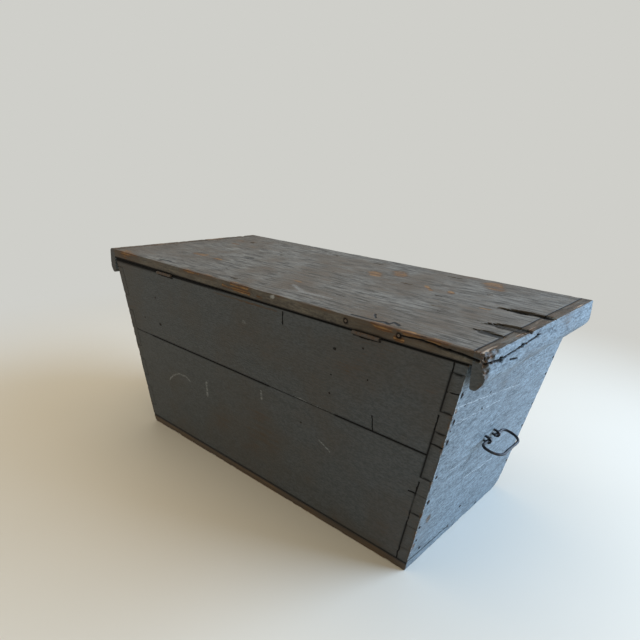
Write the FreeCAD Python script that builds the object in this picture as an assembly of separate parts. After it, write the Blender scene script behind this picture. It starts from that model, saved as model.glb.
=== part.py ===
import FreeCAD, Part
import math
import os

# A painted pine trunk: a case of splayed boards joined with dovetails, a hinged lid with end strips,
# and an iron bail handle on each end. Millimetres, +Z up, +X to the right seen from the front, front at -Y.
# The origin is the centre of the foot, on the floor. The hinges are at the back, at +Y.

V = FreeCAD.Vector

# Case. The four sides splay outwards from the foot to the rim.
case_height = 420.0
rim_length = 940.0
rim_depth = 460.0
foot_length = 772.0
foot_depth = 378.0
side_thickness = 21.0
bottom_thickness = 17.0
plank_gap = 0.6
back_lower_width = 233.0
front_lower_width = 221.0
left_lower_width = 256.5
right_lower_width = 244.0
bottom_back_width = 172.0

# Dovetails. Heights are shares of the side boards' height, read at the outer face of the long sides.
tail_shares = [(0.077, 0.203), (0.278, 0.378), (0.468, 0.692), (0.787, 0.953)]
tail_slope = 1.0 / 6.0
tail_gap = 0.6

# Cut nails with square heads, let in flush.
nail_width = 3.2
nail_tip = 1.2
nail_head = 5.4
nail_head_thickness = 1.6
corner_nail_length = 46.0
corner_nail_edge = 10.5
corner_nail_shares = [0.130, 0.350, 0.481, 0.655, 0.749, 0.868]
bottom_nail_length = 48.0
bottom_nail_side_shares = [-0.88, -0.46, 0.03, 0.47, 0.87]
bottom_nail_end_shares = [-0.58, 0.02, 0.60]
strip_nail_length = 58.0
strip_nail_drop = 15.0
strip_nail_shares = [-0.94, -0.52, -0.06, 0.41, 0.93]

# Lid: one wide board, with a strip nailed over each end.
lid_thickness = 22.0
lid_gap = 0.5
lid_back_overhang = 0.5
lid_front_overhang = 13.0
lid_top_round = 3.0
lid_under_round = 1.2
strip_clearance = 4.0
strip_thickness = 21.5
strip_height = 57.0
strip_top_round = 2.0
strip_shoulder = 16.0
strip_shoulder_round = 22.0
strip_toe = 9.5
strip_toe_round = 8.0
strip_inner_round = 4.0

# Butt hinges, both leaves let into the rim of the back.
hinge_length = 53.0
hinge_left_inset = 175.0
hinge_right_inset = 210.0
leaf_thickness = 2.0
leaf_width = 16.0
leaf_gap = 0.4
leaf_fit = 0.3
barrel_radius = 3.0
barrel_standoff = 3.2
hinge_pin_radius = 1.5
hinge_pin_clearance = 0.05
knuckle_count = 5
knuckle_gap = 0.25

# Slotted wood screws of the hinges.
screw_length = 15.0
screw_radius = 1.7
screw_head_radius = 3.3
screw_head_height = 1.6
screw_point = 5.0
screw_slot_width = 0.8
screw_slot_depth = 0.8
screw_clearance = 0.1
screw_spacing_share = 0.34

# Handles: a round iron bail whose turned-in ends lie in two staples.
handle_height = 218.0
handle_offset = 15.0
handle_standoff = 8.0
handle_droop = 12.0
bail_radius = 2.75
bail_half_width = 48.0
bail_reach = 36.0
bail_end_bend = 12.0
bail_grip_bend = 22.0
bail_tip = 8.0
staple_half_spacing = 18.0
staple_width = 3.5
staple_thickness = 3.3
staple_play = 0.3
staple_crown_bend = 6.0
staple_throat_bend = 2.0
staple_depth = 17.0
staple_point = 6.0

# Cuts run on past the work by this much.
overrun = 5.0

# Worked out from the sizes above.
end_splay = (rim_length - foot_length) / 2 / case_height
side_splay = (rim_depth - foot_depth) / 2 / case_height
end_angle = math.atan(end_splay)
end_wall = side_thickness / math.cos(end_angle)
side_wall = side_thickness / math.cos(math.atan(side_splay))
board_height = case_height - bottom_thickness
lid_under = case_height + lid_gap
lid_top = lid_under + lid_thickness
lid_back = rim_depth / 2 + lid_back_overhang
lid_front = -rim_depth / 2 - lid_front_overhang
lid_depth = lid_back - lid_front
lid_end = rim_length / 2 + strip_clearance
strip_end = lid_end + strip_thickness
strip_under = lid_top - strip_height
hinge_places = {-1: hinge_left_inset - rim_length / 2, 1: rim_length / 2 - hinge_right_inset}
hinge_y = rim_depth / 2 + barrel_standoff
hinge_z = lid_under - leaf_thickness - leaf_gap / 2
leaf_back = hinge_y - barrel_radius - leaf_fit
leaf_front = leaf_back - leaf_width


# Shapes that the pieces share.
def between(low, high):
    """Solid between two flat outlines with as many points each, joined point to point."""
    faces = [Part.Face(Part.makePolygon(low + low[:1]))]
    faces.append(Part.Face(Part.makePolygon(high + high[:1])))
    for i in range(len(low)):
        j = (i + 1) % len(low)
        faces.append(Part.Face(Part.makePolygon([low[i], low[j], high[j], high[i], low[i]])))
    solid = Part.makeSolid(Part.makeShell(faces))
    if solid.Volume < 0:
        solid.reverse()
    return solid


def rounded_wire(corners, closed=True):
    """Wire through corners given as (point, radius). A radius of zero leaves the corner sharp."""
    edges = []
    start = None
    count = len(corners)
    for i, (point, radius) in enumerate(corners):
        arrive, leave = point, point
        arc = None
        if radius:
            to_last = (corners[i - 1][0] - point).normalize()
            to_next = (corners[(i + 1) % count][0] - point).normalize()
            half_angle = to_last.getAngle(to_next) / 2
            arrive = point + to_last * (radius / math.tan(half_angle))
            leave = point + to_next * (radius / math.tan(half_angle))
            inwards = (to_last + to_next).normalize()
            middle = point + inwards * (radius / math.sin(half_angle) - radius)
            arc = Part.Arc(arrive, middle, leave).toShape()
        if start is None:
            first = arrive
        else:
            edges.append(Part.makeLine(start, arrive))
        if arc:
            edges.append(arc)
        start = leave
    if closed:
        edges.append(Part.makeLine(start, first))
    return Part.Wire(edges)


def extruded(corners, way):
    return Part.Face(rounded_wire(corners)).extrude(way)


def joined(solids):
    whole = solids[0].multiFuse(solids[1:])
    return whole.removeSplitter().Solids[0]


def cut(solid, tools):
    return solid.cut(Part.makeCompound(tools)).Solids[0]


def export(name, solids):
    """Writes one node, of one solid or of several that are alike."""
    shape = solids[0] if len(solids) == 1 else Part.makeCompound(solids)
    shape.exportStep("parts/" + name + ".step")
    sound = all(s.isValid() and s.Volume > 0 for s in solids)
    print(name, len(solids), round(sum(s.Volume for s in solids)), "mm3", "sound" if sound else "NOT SOUND")


# Planes of the case. Each gives a distance from the middle of the trunk at height z.
def end_outer(z):
    return foot_length / 2 + end_splay * z


def end_inner(z):
    return end_outer(z) - end_wall


def side_outer(z):
    return foot_depth / 2 + side_splay * z


def side_inner(z):
    return side_outer(z) - side_wall


def other_side(plane):
    return lambda z: -plane(z)


def share_height(share):
    """Height of a share of the side boards, counted from their lower edge."""
    return bottom_thickness + share * board_height


def level_block(left, right, front, back, z_low, z_high):
    """Block with level top and bottom between four planes of the case."""
    outlines = []
    for z in (z_low, z_high):
        outlines.append([V(left(z), front(z), z), V(right(z), front(z), z),
                         V(right(z), back(z), z), V(left(z), back(z), z)])
    return between(*outlines)


# Dovetailed sides. In each corner, tails of the end board and pins of the long board take turns. Their
# meeting faces are level along X. Seen on the end they flare, so that a tail is widest at its tip.
def corner_key(side_x, side_y, limits, lean):
    """Tail or pin in one corner. Its limits are heights at the outer face of the long side, each with the
    way that it leans from there inwards: up, down, or level."""
    outlines = []
    for z, way in limits:
        inner_z = z + way * lean
        outlines.append([
            V(side_x * end_inner(z), side_y * side_outer(z), z),
            V(side_x * end_outer(z), side_y * side_outer(z), z),
            V(side_x * end_outer(inner_z), side_y * side_inner(inner_z), inner_z),
            V(side_x * end_inner(inner_z), side_y * side_inner(inner_z), inner_z),
        ])
    return between(*outlines)


def tail_limits():
    """Lower and upper limit of each tail, up the corner. A tail narrows inwards."""
    return [((share_height(low) + tail_gap / 2, 1), (share_height(high) - tail_gap / 2, -1))
            for low, high in tail_shares]


def pin_limits():
    """Lower and upper limit of each pin. The lowest and the highest pin are cut off level."""
    starts = [(bottom_thickness, 0)] + [(share_height(high) + tail_gap / 2, -1) for low, high in tail_shares]
    ends = [(share_height(low) - tail_gap / 2, 1) for low, high in tail_shares] + [(case_height, 0)]
    return list(zip(starts, ends))


def end_board(side_x):
    """One whole end: the board between the long sides, with tails at both edges."""
    planes = (end_inner, end_outer) if side_x > 0 else (other_side(end_outer), other_side(end_inner))
    solids = [level_block(*planes, other_side(side_inner), side_inner, bottom_thickness, case_height)]
    for side_y in (-1, 1):
        solids += [corner_key(side_x, side_y, limits, tail_slope * side_wall) for limits in tail_limits()]
    return joined(solids)


def long_board(side_y):
    """One whole long side: the board between the ends, with pins at both edges."""
    planes = (side_inner, side_outer) if side_y > 0 else (other_side(side_outer), other_side(side_inner))
    solids = [level_block(other_side(end_inner), end_inner, *planes, bottom_thickness, case_height)]
    for side_x in (-1, 1):
        solids += [corner_key(side_x, side_y, limits, tail_slope * side_wall) for limits in pin_limits()]
    return joined(solids)


def planks(board, lower_width):
    """Splits a whole side into its lower and its upper plank."""
    reach = strip_end + overrun
    seam = bottom_thickness + lower_width
    gap = Part.makeBox(2 * reach, 2 * reach, plank_gap, V(-reach, -reach, seam - plank_gap / 2))
    return sorted(board.cut(gap).Solids, key=lambda s: s.CenterOfMass.z)


def bottom_planks():
    """Two planks nailed under the sides. Their edges carry on the splay of the sides."""
    seam = foot_depth / 2 - bottom_back_width

    def back_edge(z):
        return seam + plank_gap / 2

    def front_edge(z):
        return seam - plank_gap / 2

    ends = (other_side(end_outer), end_outer)
    back = level_block(*ends, back_edge, side_outer, 0, bottom_thickness)
    front = level_block(*ends, other_side(side_outer), front_edge, 0, bottom_thickness)
    return back, front


# Nails. Each is made where it is driven, and the same solid cuts its hole.
def square(centre, across, along, width):
    half = width / 2
    signs = ((-1, -1), (1, -1), (1, 1), (-1, 1))
    return [centre + across * (a * half) + along * (b * half) for a, b in signs]


def nail(place, inwards, across, length):
    """Cut nail from the outer face at place: a flat square head and a square shank tapering to the tip."""
    along = inwards.cross(across)
    neck = place + inwards * nail_head_thickness
    tip = place + inwards * length
    head = between(square(place, across, along, nail_head), square(neck, across, along, nail_head))
    shank = between(square(neck, across, along, nail_width), square(tip, across, along, nail_tip))
    return joined([head, shank])


def end_normal(side_x):
    """Unit vector out of the outer face of an end."""
    return V(side_x * math.cos(end_angle), 0, -math.sin(end_angle))


def corner_nails(side_x):
    """Nails through the edges of an end, into the ends of the long boards."""
    nails = []
    for side_y in (-1, 1):
        for share in corner_nail_shares:
            z = share_height(share)
            place = V(side_x * end_outer(z), side_y * (side_outer(z) - corner_nail_edge), z)
            nails.append(nail(place, end_normal(side_x) * -1, V(0, 1, 0), corner_nail_length))
    return nails


def bottom_nails():
    """Nails up through the bottom planks, into the lower edges of the sides."""
    half_way = (bottom_thickness + bottom_nail_length) / 2
    y = side_outer(half_way) - side_wall / 2
    x = end_outer(half_way) - end_wall / 2
    places = []
    for side in (-1, 1):
        places += [V(share * foot_length / 2, side * y, 0) for share in bottom_nail_side_shares]
        places += [V(side * x, share * foot_depth / 2, 0) for share in bottom_nail_end_shares]
    return [nail(place, V(0, 0, 1), V(1, 0, 0), bottom_nail_length) for place in places]


def strip_nails(side_x):
    """Nails through an end strip, into the end grain of the lid board."""
    middle = (lid_back + lid_front) / 2
    places = [V(side_x * strip_end, middle + share * lid_depth / 2, lid_top - strip_nail_drop)
              for share in strip_nail_shares]
    return [nail(place, V(-side_x, 0, 0), V(0, 1, 0), strip_nail_length) for place in places]


# Lid.
def lid_board():
    """Wide board, its long edges rounded over, from its cross-section extruded along X."""
    section = [
        (V(-lid_end, lid_front, lid_top), lid_top_round),
        (V(-lid_end, lid_back, lid_top), lid_top_round),
        (V(-lid_end, lid_back, lid_under), lid_under_round),
        (V(-lid_end, lid_front, lid_under), lid_under_round),
    ]
    return extruded(section, V(2 * lid_end, 0, 0))


def end_strip(side_x):
    """Batten across the end of the lid, square above and well rounded below on the outside."""
    section = [
        (lid_end, lid_top, 0),
        (strip_end, lid_top, strip_top_round),
        (strip_end, strip_under + strip_shoulder, strip_shoulder_round),
        (lid_end + strip_toe, strip_under, strip_toe_round),
        (lid_end, strip_under, strip_inner_round),
    ]
    corners = [(V(side_x * x, lid_front, z), radius) for x, z, radius in section]
    return extruded(corners, V(0, lid_depth, 0))


# Butt hinges.
def turned(outline, place, way):
    """Solid of revolution about a vertical axis. The outline gives radius and depth from place."""
    points = [place + V(radius, 0, way * depth) for radius, depth in outline]
    return Part.Face(Part.makePolygon(points + points[:1])).revolve(place, V(0, 0, 1), 360)


def screw(place, way):
    """Countersunk slotted wood screw with its head flush at place, driven up or down."""
    outline = [(0, 0), (screw_head_radius, 0), (screw_radius, screw_head_height),
               (screw_radius, screw_length - screw_point), (0, screw_length)]
    slot_length = 2 * (screw_head_radius + overrun)
    slot = Part.makeBox(slot_length, screw_slot_width, 2 * screw_slot_depth,
                        place - V(slot_length / 2, screw_slot_width / 2, screw_slot_depth))
    return cut(turned(outline, place, way), [slot])


def screw_hole(place, way):
    """Countersunk hole with clearance all round the screw, open above its head."""
    radius = screw_radius + screw_clearance
    head_radius = screw_head_radius + screw_clearance
    outline = [(0, -overrun), (head_radius, -overrun), (head_radius, 0), (radius, screw_head_height),
               (radius, screw_length - screw_point), (0, screw_length + screw_clearance)]
    return turned(outline, place, way)


def leaf(x_centre, z_low, own_knuckles):
    """Hinge leaf: a plate, its own knuckles, a tab to each, and the bore for the pin."""
    start = x_centre - hinge_length / 2
    pitch = (hinge_length + knuckle_gap) / knuckle_count
    knuckle_length = pitch - knuckle_gap
    solids = [Part.makeBox(hinge_length, leaf_width, leaf_thickness, V(start, leaf_front, z_low))]
    tab = hinge_y - leaf_back
    for k in own_knuckles:
        x = start + k * pitch
        solids.append(Part.makeBox(knuckle_length, tab, leaf_thickness, V(x, leaf_back, z_low)))
        solids.append(Part.makeCylinder(barrel_radius, knuckle_length, V(x, hinge_y, hinge_z), V(1, 0, 0)))
    bore = Part.makeCylinder(hinge_pin_radius + hinge_pin_clearance, hinge_length + 2 * overrun,
                             V(start - overrun, hinge_y, hinge_z), V(1, 0, 0))
    return cut(joined(solids), [bore])


def leaf_room(x_centre):
    """Room for both closed leaves in the rim of the back, open behind for the barrel."""
    length = hinge_length + 2 * leaf_fit
    depth = leaf_width + leaf_fit + hinge_y + barrel_radius - leaf_back
    floor = hinge_z - leaf_gap / 2 - leaf_thickness
    corner = V(x_centre - length / 2, leaf_front - leaf_fit, floor)
    return Part.makeBox(length, depth, case_height + overrun - floor, corner)


def hinge(x_centre):
    """The pieces of one hinge, and under 'case' and 'lid' what it takes out of the wood of each."""
    case_z = hinge_z - leaf_gap / 2
    lid_z = hinge_z + leaf_gap / 2
    y = leaf_front + leaf_width / 2
    spacing = screw_spacing_share * hinge_length
    case_places = [V(x_centre + k * spacing, y, case_z) for k in (-1, 0, 1)]
    lid_places = [V(x_centre + k * spacing, y, lid_z) for k in (-1, 0, 1)]
    case_holes = [screw_hole(place, -1) for place in case_places]
    lid_holes = [screw_hole(place, 1) for place in lid_places]
    pin = Part.makeCylinder(hinge_pin_radius, hinge_length, V(x_centre - hinge_length / 2, hinge_y, hinge_z),
                            V(1, 0, 0))
    return {
        "case_leaf": [cut(leaf(x_centre, case_z - leaf_thickness, range(0, knuckle_count, 2)), case_holes)],
        "lid_leaf": [cut(leaf(x_centre, lid_z, range(1, knuckle_count, 2)), lid_holes)],
        "pin": [pin],
        "case_screws": [screw(place, -1) for place in case_places],
        "lid_screws": [screw(place, 1) for place in lid_places],
        "case": case_holes + [leaf_room(x_centre)],
        "lid": lid_holes,
    }


# Handles.
def handle_pivot(side_x):
    """Middle of the axis that the bail turns on, off the outer face of the end."""
    face_point = V(side_x * end_outer(handle_height), handle_offset, handle_height)
    return face_point + end_normal(side_x) * handle_standoff


def bail(side_x):
    """Round bar, bent flat: two ends turned in along the pivot, two arms and a straight grip."""
    droop = math.radians(handle_droop)
    outwards = V(side_x * math.cos(droop), 0, -math.sin(droop))
    pivot = handle_pivot(side_x)
    corners = [
        (-bail_tip, 0, 0),
        (-bail_half_width, 0, bail_end_bend),
        (-bail_half_width, bail_reach, bail_grip_bend),
        (bail_half_width, bail_reach, bail_grip_bend),
        (bail_half_width, 0, bail_end_bend),
        (bail_tip, 0, 0),
    ]
    placed = [(pivot + V(0, u, 0) + outwards * v, radius) for u, v, radius in corners]
    path = rounded_wire(placed, closed=False)
    section = Part.Wire(Part.makeCircle(bail_radius, pivot - V(0, bail_tip, 0), V(0, 1, 0)))
    return path.makePipeShell([section], True, False)


def staple(side_x, u):
    """Square iron bent over the end of the bail, its two pointed legs driven square into the end."""
    normal = end_normal(side_x)
    upwards = V(math.sin(end_angle) * side_x, 0, math.cos(end_angle))
    corner = handle_pivot(side_x) + V(0, u - staple_width / 2, 0)
    inner = bail_radius + staple_play
    outer = inner + staple_thickness
    middle = inner + staple_thickness / 2
    tip = -handle_standoff - staple_depth
    neck = tip + staple_point
    section = [
        (tip, middle, 0), (neck, outer, 0), (outer, outer, staple_crown_bend),
        (outer, -outer, staple_crown_bend), (neck, -outer, 0), (tip, -middle, 0), (neck, -inner, 0),
        (inner, -inner, staple_throat_bend), (inner, inner, staple_throat_bend), (neck, inner, 0),
    ]
    corners = [(corner + normal * n + upwards * t, radius) for n, t, radius in section]
    return extruded(corners, V(0, staple_width, 0))


def build():
    sides = {-1: "left", 1: "right"}
    hinges = {side: hinge(hinge_places[side]) for side in sides}
    corners = {side: corner_nails(side) for side in sides}
    staples = {side: [staple(side, u) for u in (-staple_half_spacing, staple_half_spacing)] for side in sides}
    under = bottom_nails()

    long_tools = corners[-1] + corners[1] + under
    back_tools = long_tools + hinges[-1]["case"] + hinges[1]["case"]
    for name, side_y, width, tools in (("back", 1, back_lower_width, back_tools),
                                       ("front", -1, front_lower_width, long_tools)):
        lower, upper = planks(long_board(side_y), width)
        export(name + "_board_lower", [cut(lower, tools)])
        export(name + "_board_upper", [cut(upper, tools)])
    for side, width in ((-1, left_lower_width), (1, right_lower_width)):
        lower, upper = planks(end_board(side), width)
        tools = corners[side] + under + staples[side]
        export(sides[side] + "_board_lower", [cut(lower, tools)])
        export(sides[side] + "_board_upper", [cut(upper, tools)])
        export(sides[side] + "_corner_nails", corners[side])
        export(sides[side] + "_handle_staples", staples[side])
        export(sides[side] + "_handle_bail", [bail(side)])
    back, front = bottom_planks()
    export("bottom_board_back", [cut(back, under)])
    export("bottom_board_front", [cut(front, under)])
    export("bottom_nails", under)

    lid_tools = hinges[-1]["lid"] + hinges[1]["lid"]
    for side in sides:
        fixings = strip_nails(side)
        lid_tools += fixings
        export("lid_strip_" + sides[side], [cut(end_strip(side), fixings)])
        export("lid_nails_" + sides[side], fixings)
        for piece in ("case_leaf", "lid_leaf", "pin", "case_screws", "lid_screws"):
            export("hinge_" + piece + "_" + sides[side], hinges[side][piece])
    export("lid_board", [cut(lid_board(), lid_tools)])


os.makedirs("parts", exist_ok=True)
build()
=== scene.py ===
# %% [markdown]
# # Dressing a painted pine trunk
# The trunk is an old storage chest: pine boards that splay outwards, dovetailed at the corners, painted
# slate grey and then used for a lifetime. The CAD model already holds the size and place of each board,
# strip, hinge, nail and handle. This lesson keeps those sizes, gives the boards their worn surfaces, and
# ends with finishes, light and a camera. Lengths on the trunk are in millimetres, as a maker writes them,
# and those of the room round it are in metres.

import math
import bpy
import numpy as np
from mathutils import Matrix, Vector, kdtree, noise


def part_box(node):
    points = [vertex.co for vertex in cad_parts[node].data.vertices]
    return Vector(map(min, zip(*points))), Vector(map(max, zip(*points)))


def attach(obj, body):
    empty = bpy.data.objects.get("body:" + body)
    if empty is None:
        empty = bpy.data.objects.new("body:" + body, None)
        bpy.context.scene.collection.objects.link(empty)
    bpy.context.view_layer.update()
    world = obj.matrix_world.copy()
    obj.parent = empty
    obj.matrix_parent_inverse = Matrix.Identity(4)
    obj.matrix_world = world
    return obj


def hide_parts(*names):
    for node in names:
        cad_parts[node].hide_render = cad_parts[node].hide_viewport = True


MILLIMETRE = 0.001
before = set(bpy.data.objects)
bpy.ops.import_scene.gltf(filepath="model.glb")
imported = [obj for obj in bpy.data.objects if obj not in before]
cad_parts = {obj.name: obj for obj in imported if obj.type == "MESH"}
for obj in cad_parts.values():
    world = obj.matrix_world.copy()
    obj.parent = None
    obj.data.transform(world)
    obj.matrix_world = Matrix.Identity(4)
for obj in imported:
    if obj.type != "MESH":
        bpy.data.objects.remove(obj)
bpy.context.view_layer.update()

# %% [markdown]
# ## The planes of the case
# The four sides lean outwards, so a board's edge isn't at one x or y but follows a plane. Two corners of
# the CAD boards give the lean: the rim of the back, and the upper edge of the bottom board. Each function
# below gives a distance from the middle of the trunk at a height z, in millimetres.

# %% Read the planes
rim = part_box("back_board_upper")[1] / MILLIMETRE
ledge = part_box("bottom_board_back")[1] / MILLIMETRE
end_splay = (rim.x - ledge.x) / (rim.z - ledge.z)
side_splay = (rim.y - ledge.y) / (rim.z - ledge.z)
end_tilt = math.atan(end_splay)
side_tilt = math.atan(side_splay)
board_thickness = 21.0
end_wall = board_thickness / math.cos(end_tilt)
side_wall = board_thickness / math.cos(side_tilt)
ends = {-1: "left", 1: "right"}


def end_outer(z):
    return rim.x - end_splay * (rim.z - z)


def end_inner(z):
    return end_outer(z) - end_wall


def side_outer(z):
    return rim.y - side_splay * (rim.z - z)


def side_inner(z):
    return side_outer(z) - side_wall


def end_way(side):
    """The way straight out of the left end, -1, or the right one, 1."""
    return (side * math.cos(end_tilt), 0, -math.sin(end_tilt))


def side_way(side):
    """The way straight out of the front, -1, or the back, 1."""
    return (0, side * math.cos(side_tilt), -math.sin(side_tilt))


print("ends lean", round(math.degrees(end_tilt), 2), "degrees, sides", round(math.degrees(side_tilt), 2))

# %% [markdown]
# ## A board as a lattice of points
# A flat board could be a box with a Bevel modifier. An old board isn't flat, though: its arrises are worn
# round, its face is wavy and it has gouges. So each board here is a lattice of points, close together
# beside every edge and joint, where most of the wear is. A map of which cells are wood cuts the dovetails
# out of it. The same function makes boards, strips and planks, and its mesh is always closed.

# %% Lines of the lattice
crowded_steps = (0.7, 1.6, 3.2, 6.0)


def lattice_lines(stops, step):
    """Places from the first stop to the last, about step apart, and crowded beside every stop."""
    lines = []
    for start, end in zip(stops, stops[1:]):
        near = [0.0] + [d for d in crowded_steps if d < (end - start) / 2.2]
        first, last = start + near[-1], end - near[-1]
        lines += [start + d for d in near]
        lines += [end - d for d in near]
        lines += list(np.linspace(first, last, max(1, round((last - first) / step)) + 1))
    return np.unique(np.round(lines, 4))


def edge_of(wood):
    """Which lattice points touch wood, and which of them lie on its outline."""
    rows, columns = wood.shape
    cells = np.zeros((rows + 2, columns + 2), bool)
    cells[1:-1, 1:-1] = wood
    around = [cells[:-1, :-1], cells[1:, :-1], cells[:-1, 1:], cells[1:, 1:]]
    touching = np.any(around, axis=0)
    return cells, touching, touching & ~np.all(around, axis=0)


def lattice_solid(points, wood):
    """Closed solid between layers. Its outline is 1 on the first, 2 on the next four and 3 on the last."""
    layers = len(points)
    cells, touching, edge = edge_of(wood)
    used = np.repeat(edge[None], layers, axis=0)
    used[0] = used[-1] = touching
    number = np.full(used.shape, -1)
    number[used] = np.arange(used.sum())
    r, c = np.nonzero(wood)
    quads = []
    for layer, order in ((0, 1), (layers - 1, -1)):
        n = number[layer]
        quads.append(np.stack([n[r, c], n[r, c + 1], n[r + 1, c + 1], n[r + 1, c]], 1)[:, ::order])
    for along_row in (True, False):
        if along_row:
            i, j = np.nonzero(cells[:-1, 1:-1] != cells[1:, 1:-1])
        else:
            i, j = np.nonzero(cells[1:-1, :-1] != cells[1:-1, 1:])
        ahead = cells[i + 1, j + 1]
        if along_row:
            start, end = (i, np.where(ahead, j + 1, j)), (i, np.where(ahead, j, j + 1))
        else:
            start, end = (np.where(ahead, i, i + 1), j), (np.where(ahead, i + 1, i), j)
        for n, below in zip(number, number[1:]):
            quads.append(np.stack([n[start], n[end], below[end], below[start]], 1))
    outline = np.zeros(used.shape, int)
    outline[1:5, edge] = 2
    outline[0, edge] = 1
    outline[-1, edge] = 3
    return points[used], np.concatenate(quads), outline[used]


def full_solid(layers):
    """Closed solid between layers whose cells are all wood."""
    layers = np.array(layers)
    return lattice_solid(layers, np.ones((layers.shape[1] - 1, layers.shape[2] - 1), bool))


lines = lattice_lines([0.0, 100.0], 10.0)
print("lines on a sample of 100 mm:", len(lines), "from", lines[0], "to", lines[-1])

# %% [markdown]
# ## Wear
# Hands, feet and floors wear a trunk where two faces meet. Rolling a ball of some radius inside the trunk
# gives just that shape: far from an edge the ball reaches the face, and in a corner it can't, so the
# corner is taken back to the ball. The radius changes with smooth noise along the edge, which gives the
# uneven, chipped line of a real arris. Nothing is ever moved outwards, so the trunk keeps its size.

# %% Wear tools


def lumps(points, size, seed=0.0):
    """Smooth noise from -1 to 1. The size of a lump along X, Y and Z is in millimetres."""
    return np.array([noise.noise(p) for p in points / np.array(size) + seed])


def ease(value, low, high):
    """0 below low, 1 above high, and a smooth rise between them."""
    t = np.clip((value - low) / (high - low), 0, 1)
    return t * t * (3 - 2 * t)


def round_over(points, planes, radius):
    """Takes the edges between planes, given as (outward normal, distance of each point), back to a ball."""
    reach = [np.maximum(distance + radius, 0) for normal, distance in planes]
    length = np.sqrt(sum(r * r for r in reach))
    excess = np.where(length > radius, 1 - radius / np.maximum(length, 1e-9), 0)
    for (normal, distance), r in zip(planes, reach):
        points = points - np.outer(r * excess, normal)
    return points


def floor_plane(points):
    """The plane that the trunk stands on, as (outward normal, distance of each point)."""
    return (0, 0, -1), -points[:, 2]


def nearest_plane(planes):
    """Distance of each point from the nearest of the planes, below 0 inside."""
    return np.maximum.reduce([distance for normal, distance in planes])


def plane_off(points, planes, depth, reach):
    """Takes the points within reach of a plane back from it by a depth."""
    for normal, distance in planes:
        points = points - np.outer(np.where(distance > -reach, depth, 0), normal)
    return points


def near_arris(planes):
    """Distance of each point from the nearest edge between two of the planes."""
    depths = np.sort(np.abs(np.array([distance for normal, distance in planes])), axis=0)
    return np.hypot(depths[0], depths[1])


def near_points(points, others):
    """Distance of each point from the nearest of some others."""
    tree = kdtree.KDTree(len(others))
    for k, other in enumerate(others):
        tree.insert(other, k)
    tree.balance()
    return np.array([tree.find(point)[2] for point in points])


def near_line(points, start, end):
    """Distance of each point from a line between two points, and how far along it that is, 0 to 1."""
    start, end = np.array(start, float), np.array(end, float)
    way = end - start
    share = np.clip((points - start) @ way / (way @ way), 0, 1)
    return np.linalg.norm(points - start - share[:, None] * way, axis=1), share


def case_planes(points):
    """The outer planes of the case, as (outward normal, distance of each point)."""
    x, y, z = points.T
    planes = []
    for side in (-1, 1):
        planes.append((end_way(side), (side * x - end_outer(z)) * math.cos(end_tilt)))
        planes.append((side_way(side), (side * y - side_outer(z)) * math.cos(side_tilt)))
    return planes


sample = round_over(np.array([[0.0, 0.0, 0.0]]), [((1, 0, 0), np.zeros(1)), ((0, 1, 0), np.zeros(1))], 3.0)
print("a sharp edge with a 3 mm ball goes back by", round(float(np.linalg.norm(sample)), 2), "mm")

# %% [markdown]
# ## Wearing the case
# The corners of the case are its most knocked places. The foot is rubbed where it was dragged, and the rim
# under the lid is only softened. Each point also gets three numbers that the paint reads later: how worn it
# is, how dark it is from a joint between boards and from dirt and painted shade in the gap under the lid, and
# whether it lies in a gouge.

# %% Old paint in the joints
# Where old paint fills the joints: the lowest and highest corner of a box, and how much of it is filled.
filled_joints = [
    ((-225, 150, 238), (-66, 260, 262), 0.85),
    ((-397, 150, 44), (-378, 260, 52), 0.8),
    ((-407, 150, 94), (-388, 260, 103), 0.8),
    ((-421, 150, 164), (-402, 260, 174), 0.8),
    ((-400, 150, 134), (-386, 260, 164), 0.5),
    ((350, 150, 22), (480, 260, 418), 0.75),
]
filling_fade = 3.0


def painted_over(points):
    """How far old paint fills the joints at each point, from 0 to 1."""
    filled = np.zeros(len(points))
    for low, high, much in filled_joints:
        low, high = np.array(low), np.array(high)
        inside = ease(points, low - filling_fade, low) * ease(-points, -high - filling_fade, -high)
        filled = np.maximum(filled, much * inside.prod(axis=1))
    return filled


print("joints with old paint in them", len(filled_joints))

# %% How the case wears
joint_reach, foot_seam_reach = 2.0, 2.8
skin_depth = 4.0
arris_round, rim_round, dragged_round = (0.8, 1.7, 4.6), 1.3, 24.0
dragged_reach = (70, 20)
# Dirt and painted shade of the gap under the lid, on the rim: how far it is full and where it has faded, how
# much wider at the right end, and between which x it widens.
rim_gap_dirt_and_shade, far_rim_gap_dirt_and_shade = (1.4, 2.9), (3.0, 4.5)
gap_dirt_and_shade_widens = (-100, 400)


def gap_dirt_and_shade(points, height, near, far):
    """Dirt and painted shade within a few millimetres of the gap under the lid, wider towards the right end.
    """
    along = ease(points[:, 0], *gap_dirt_and_shade_widens)
    return 1 - ease(height, near[0] + far[0] * along, near[1] + far[1] * along)


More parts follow.
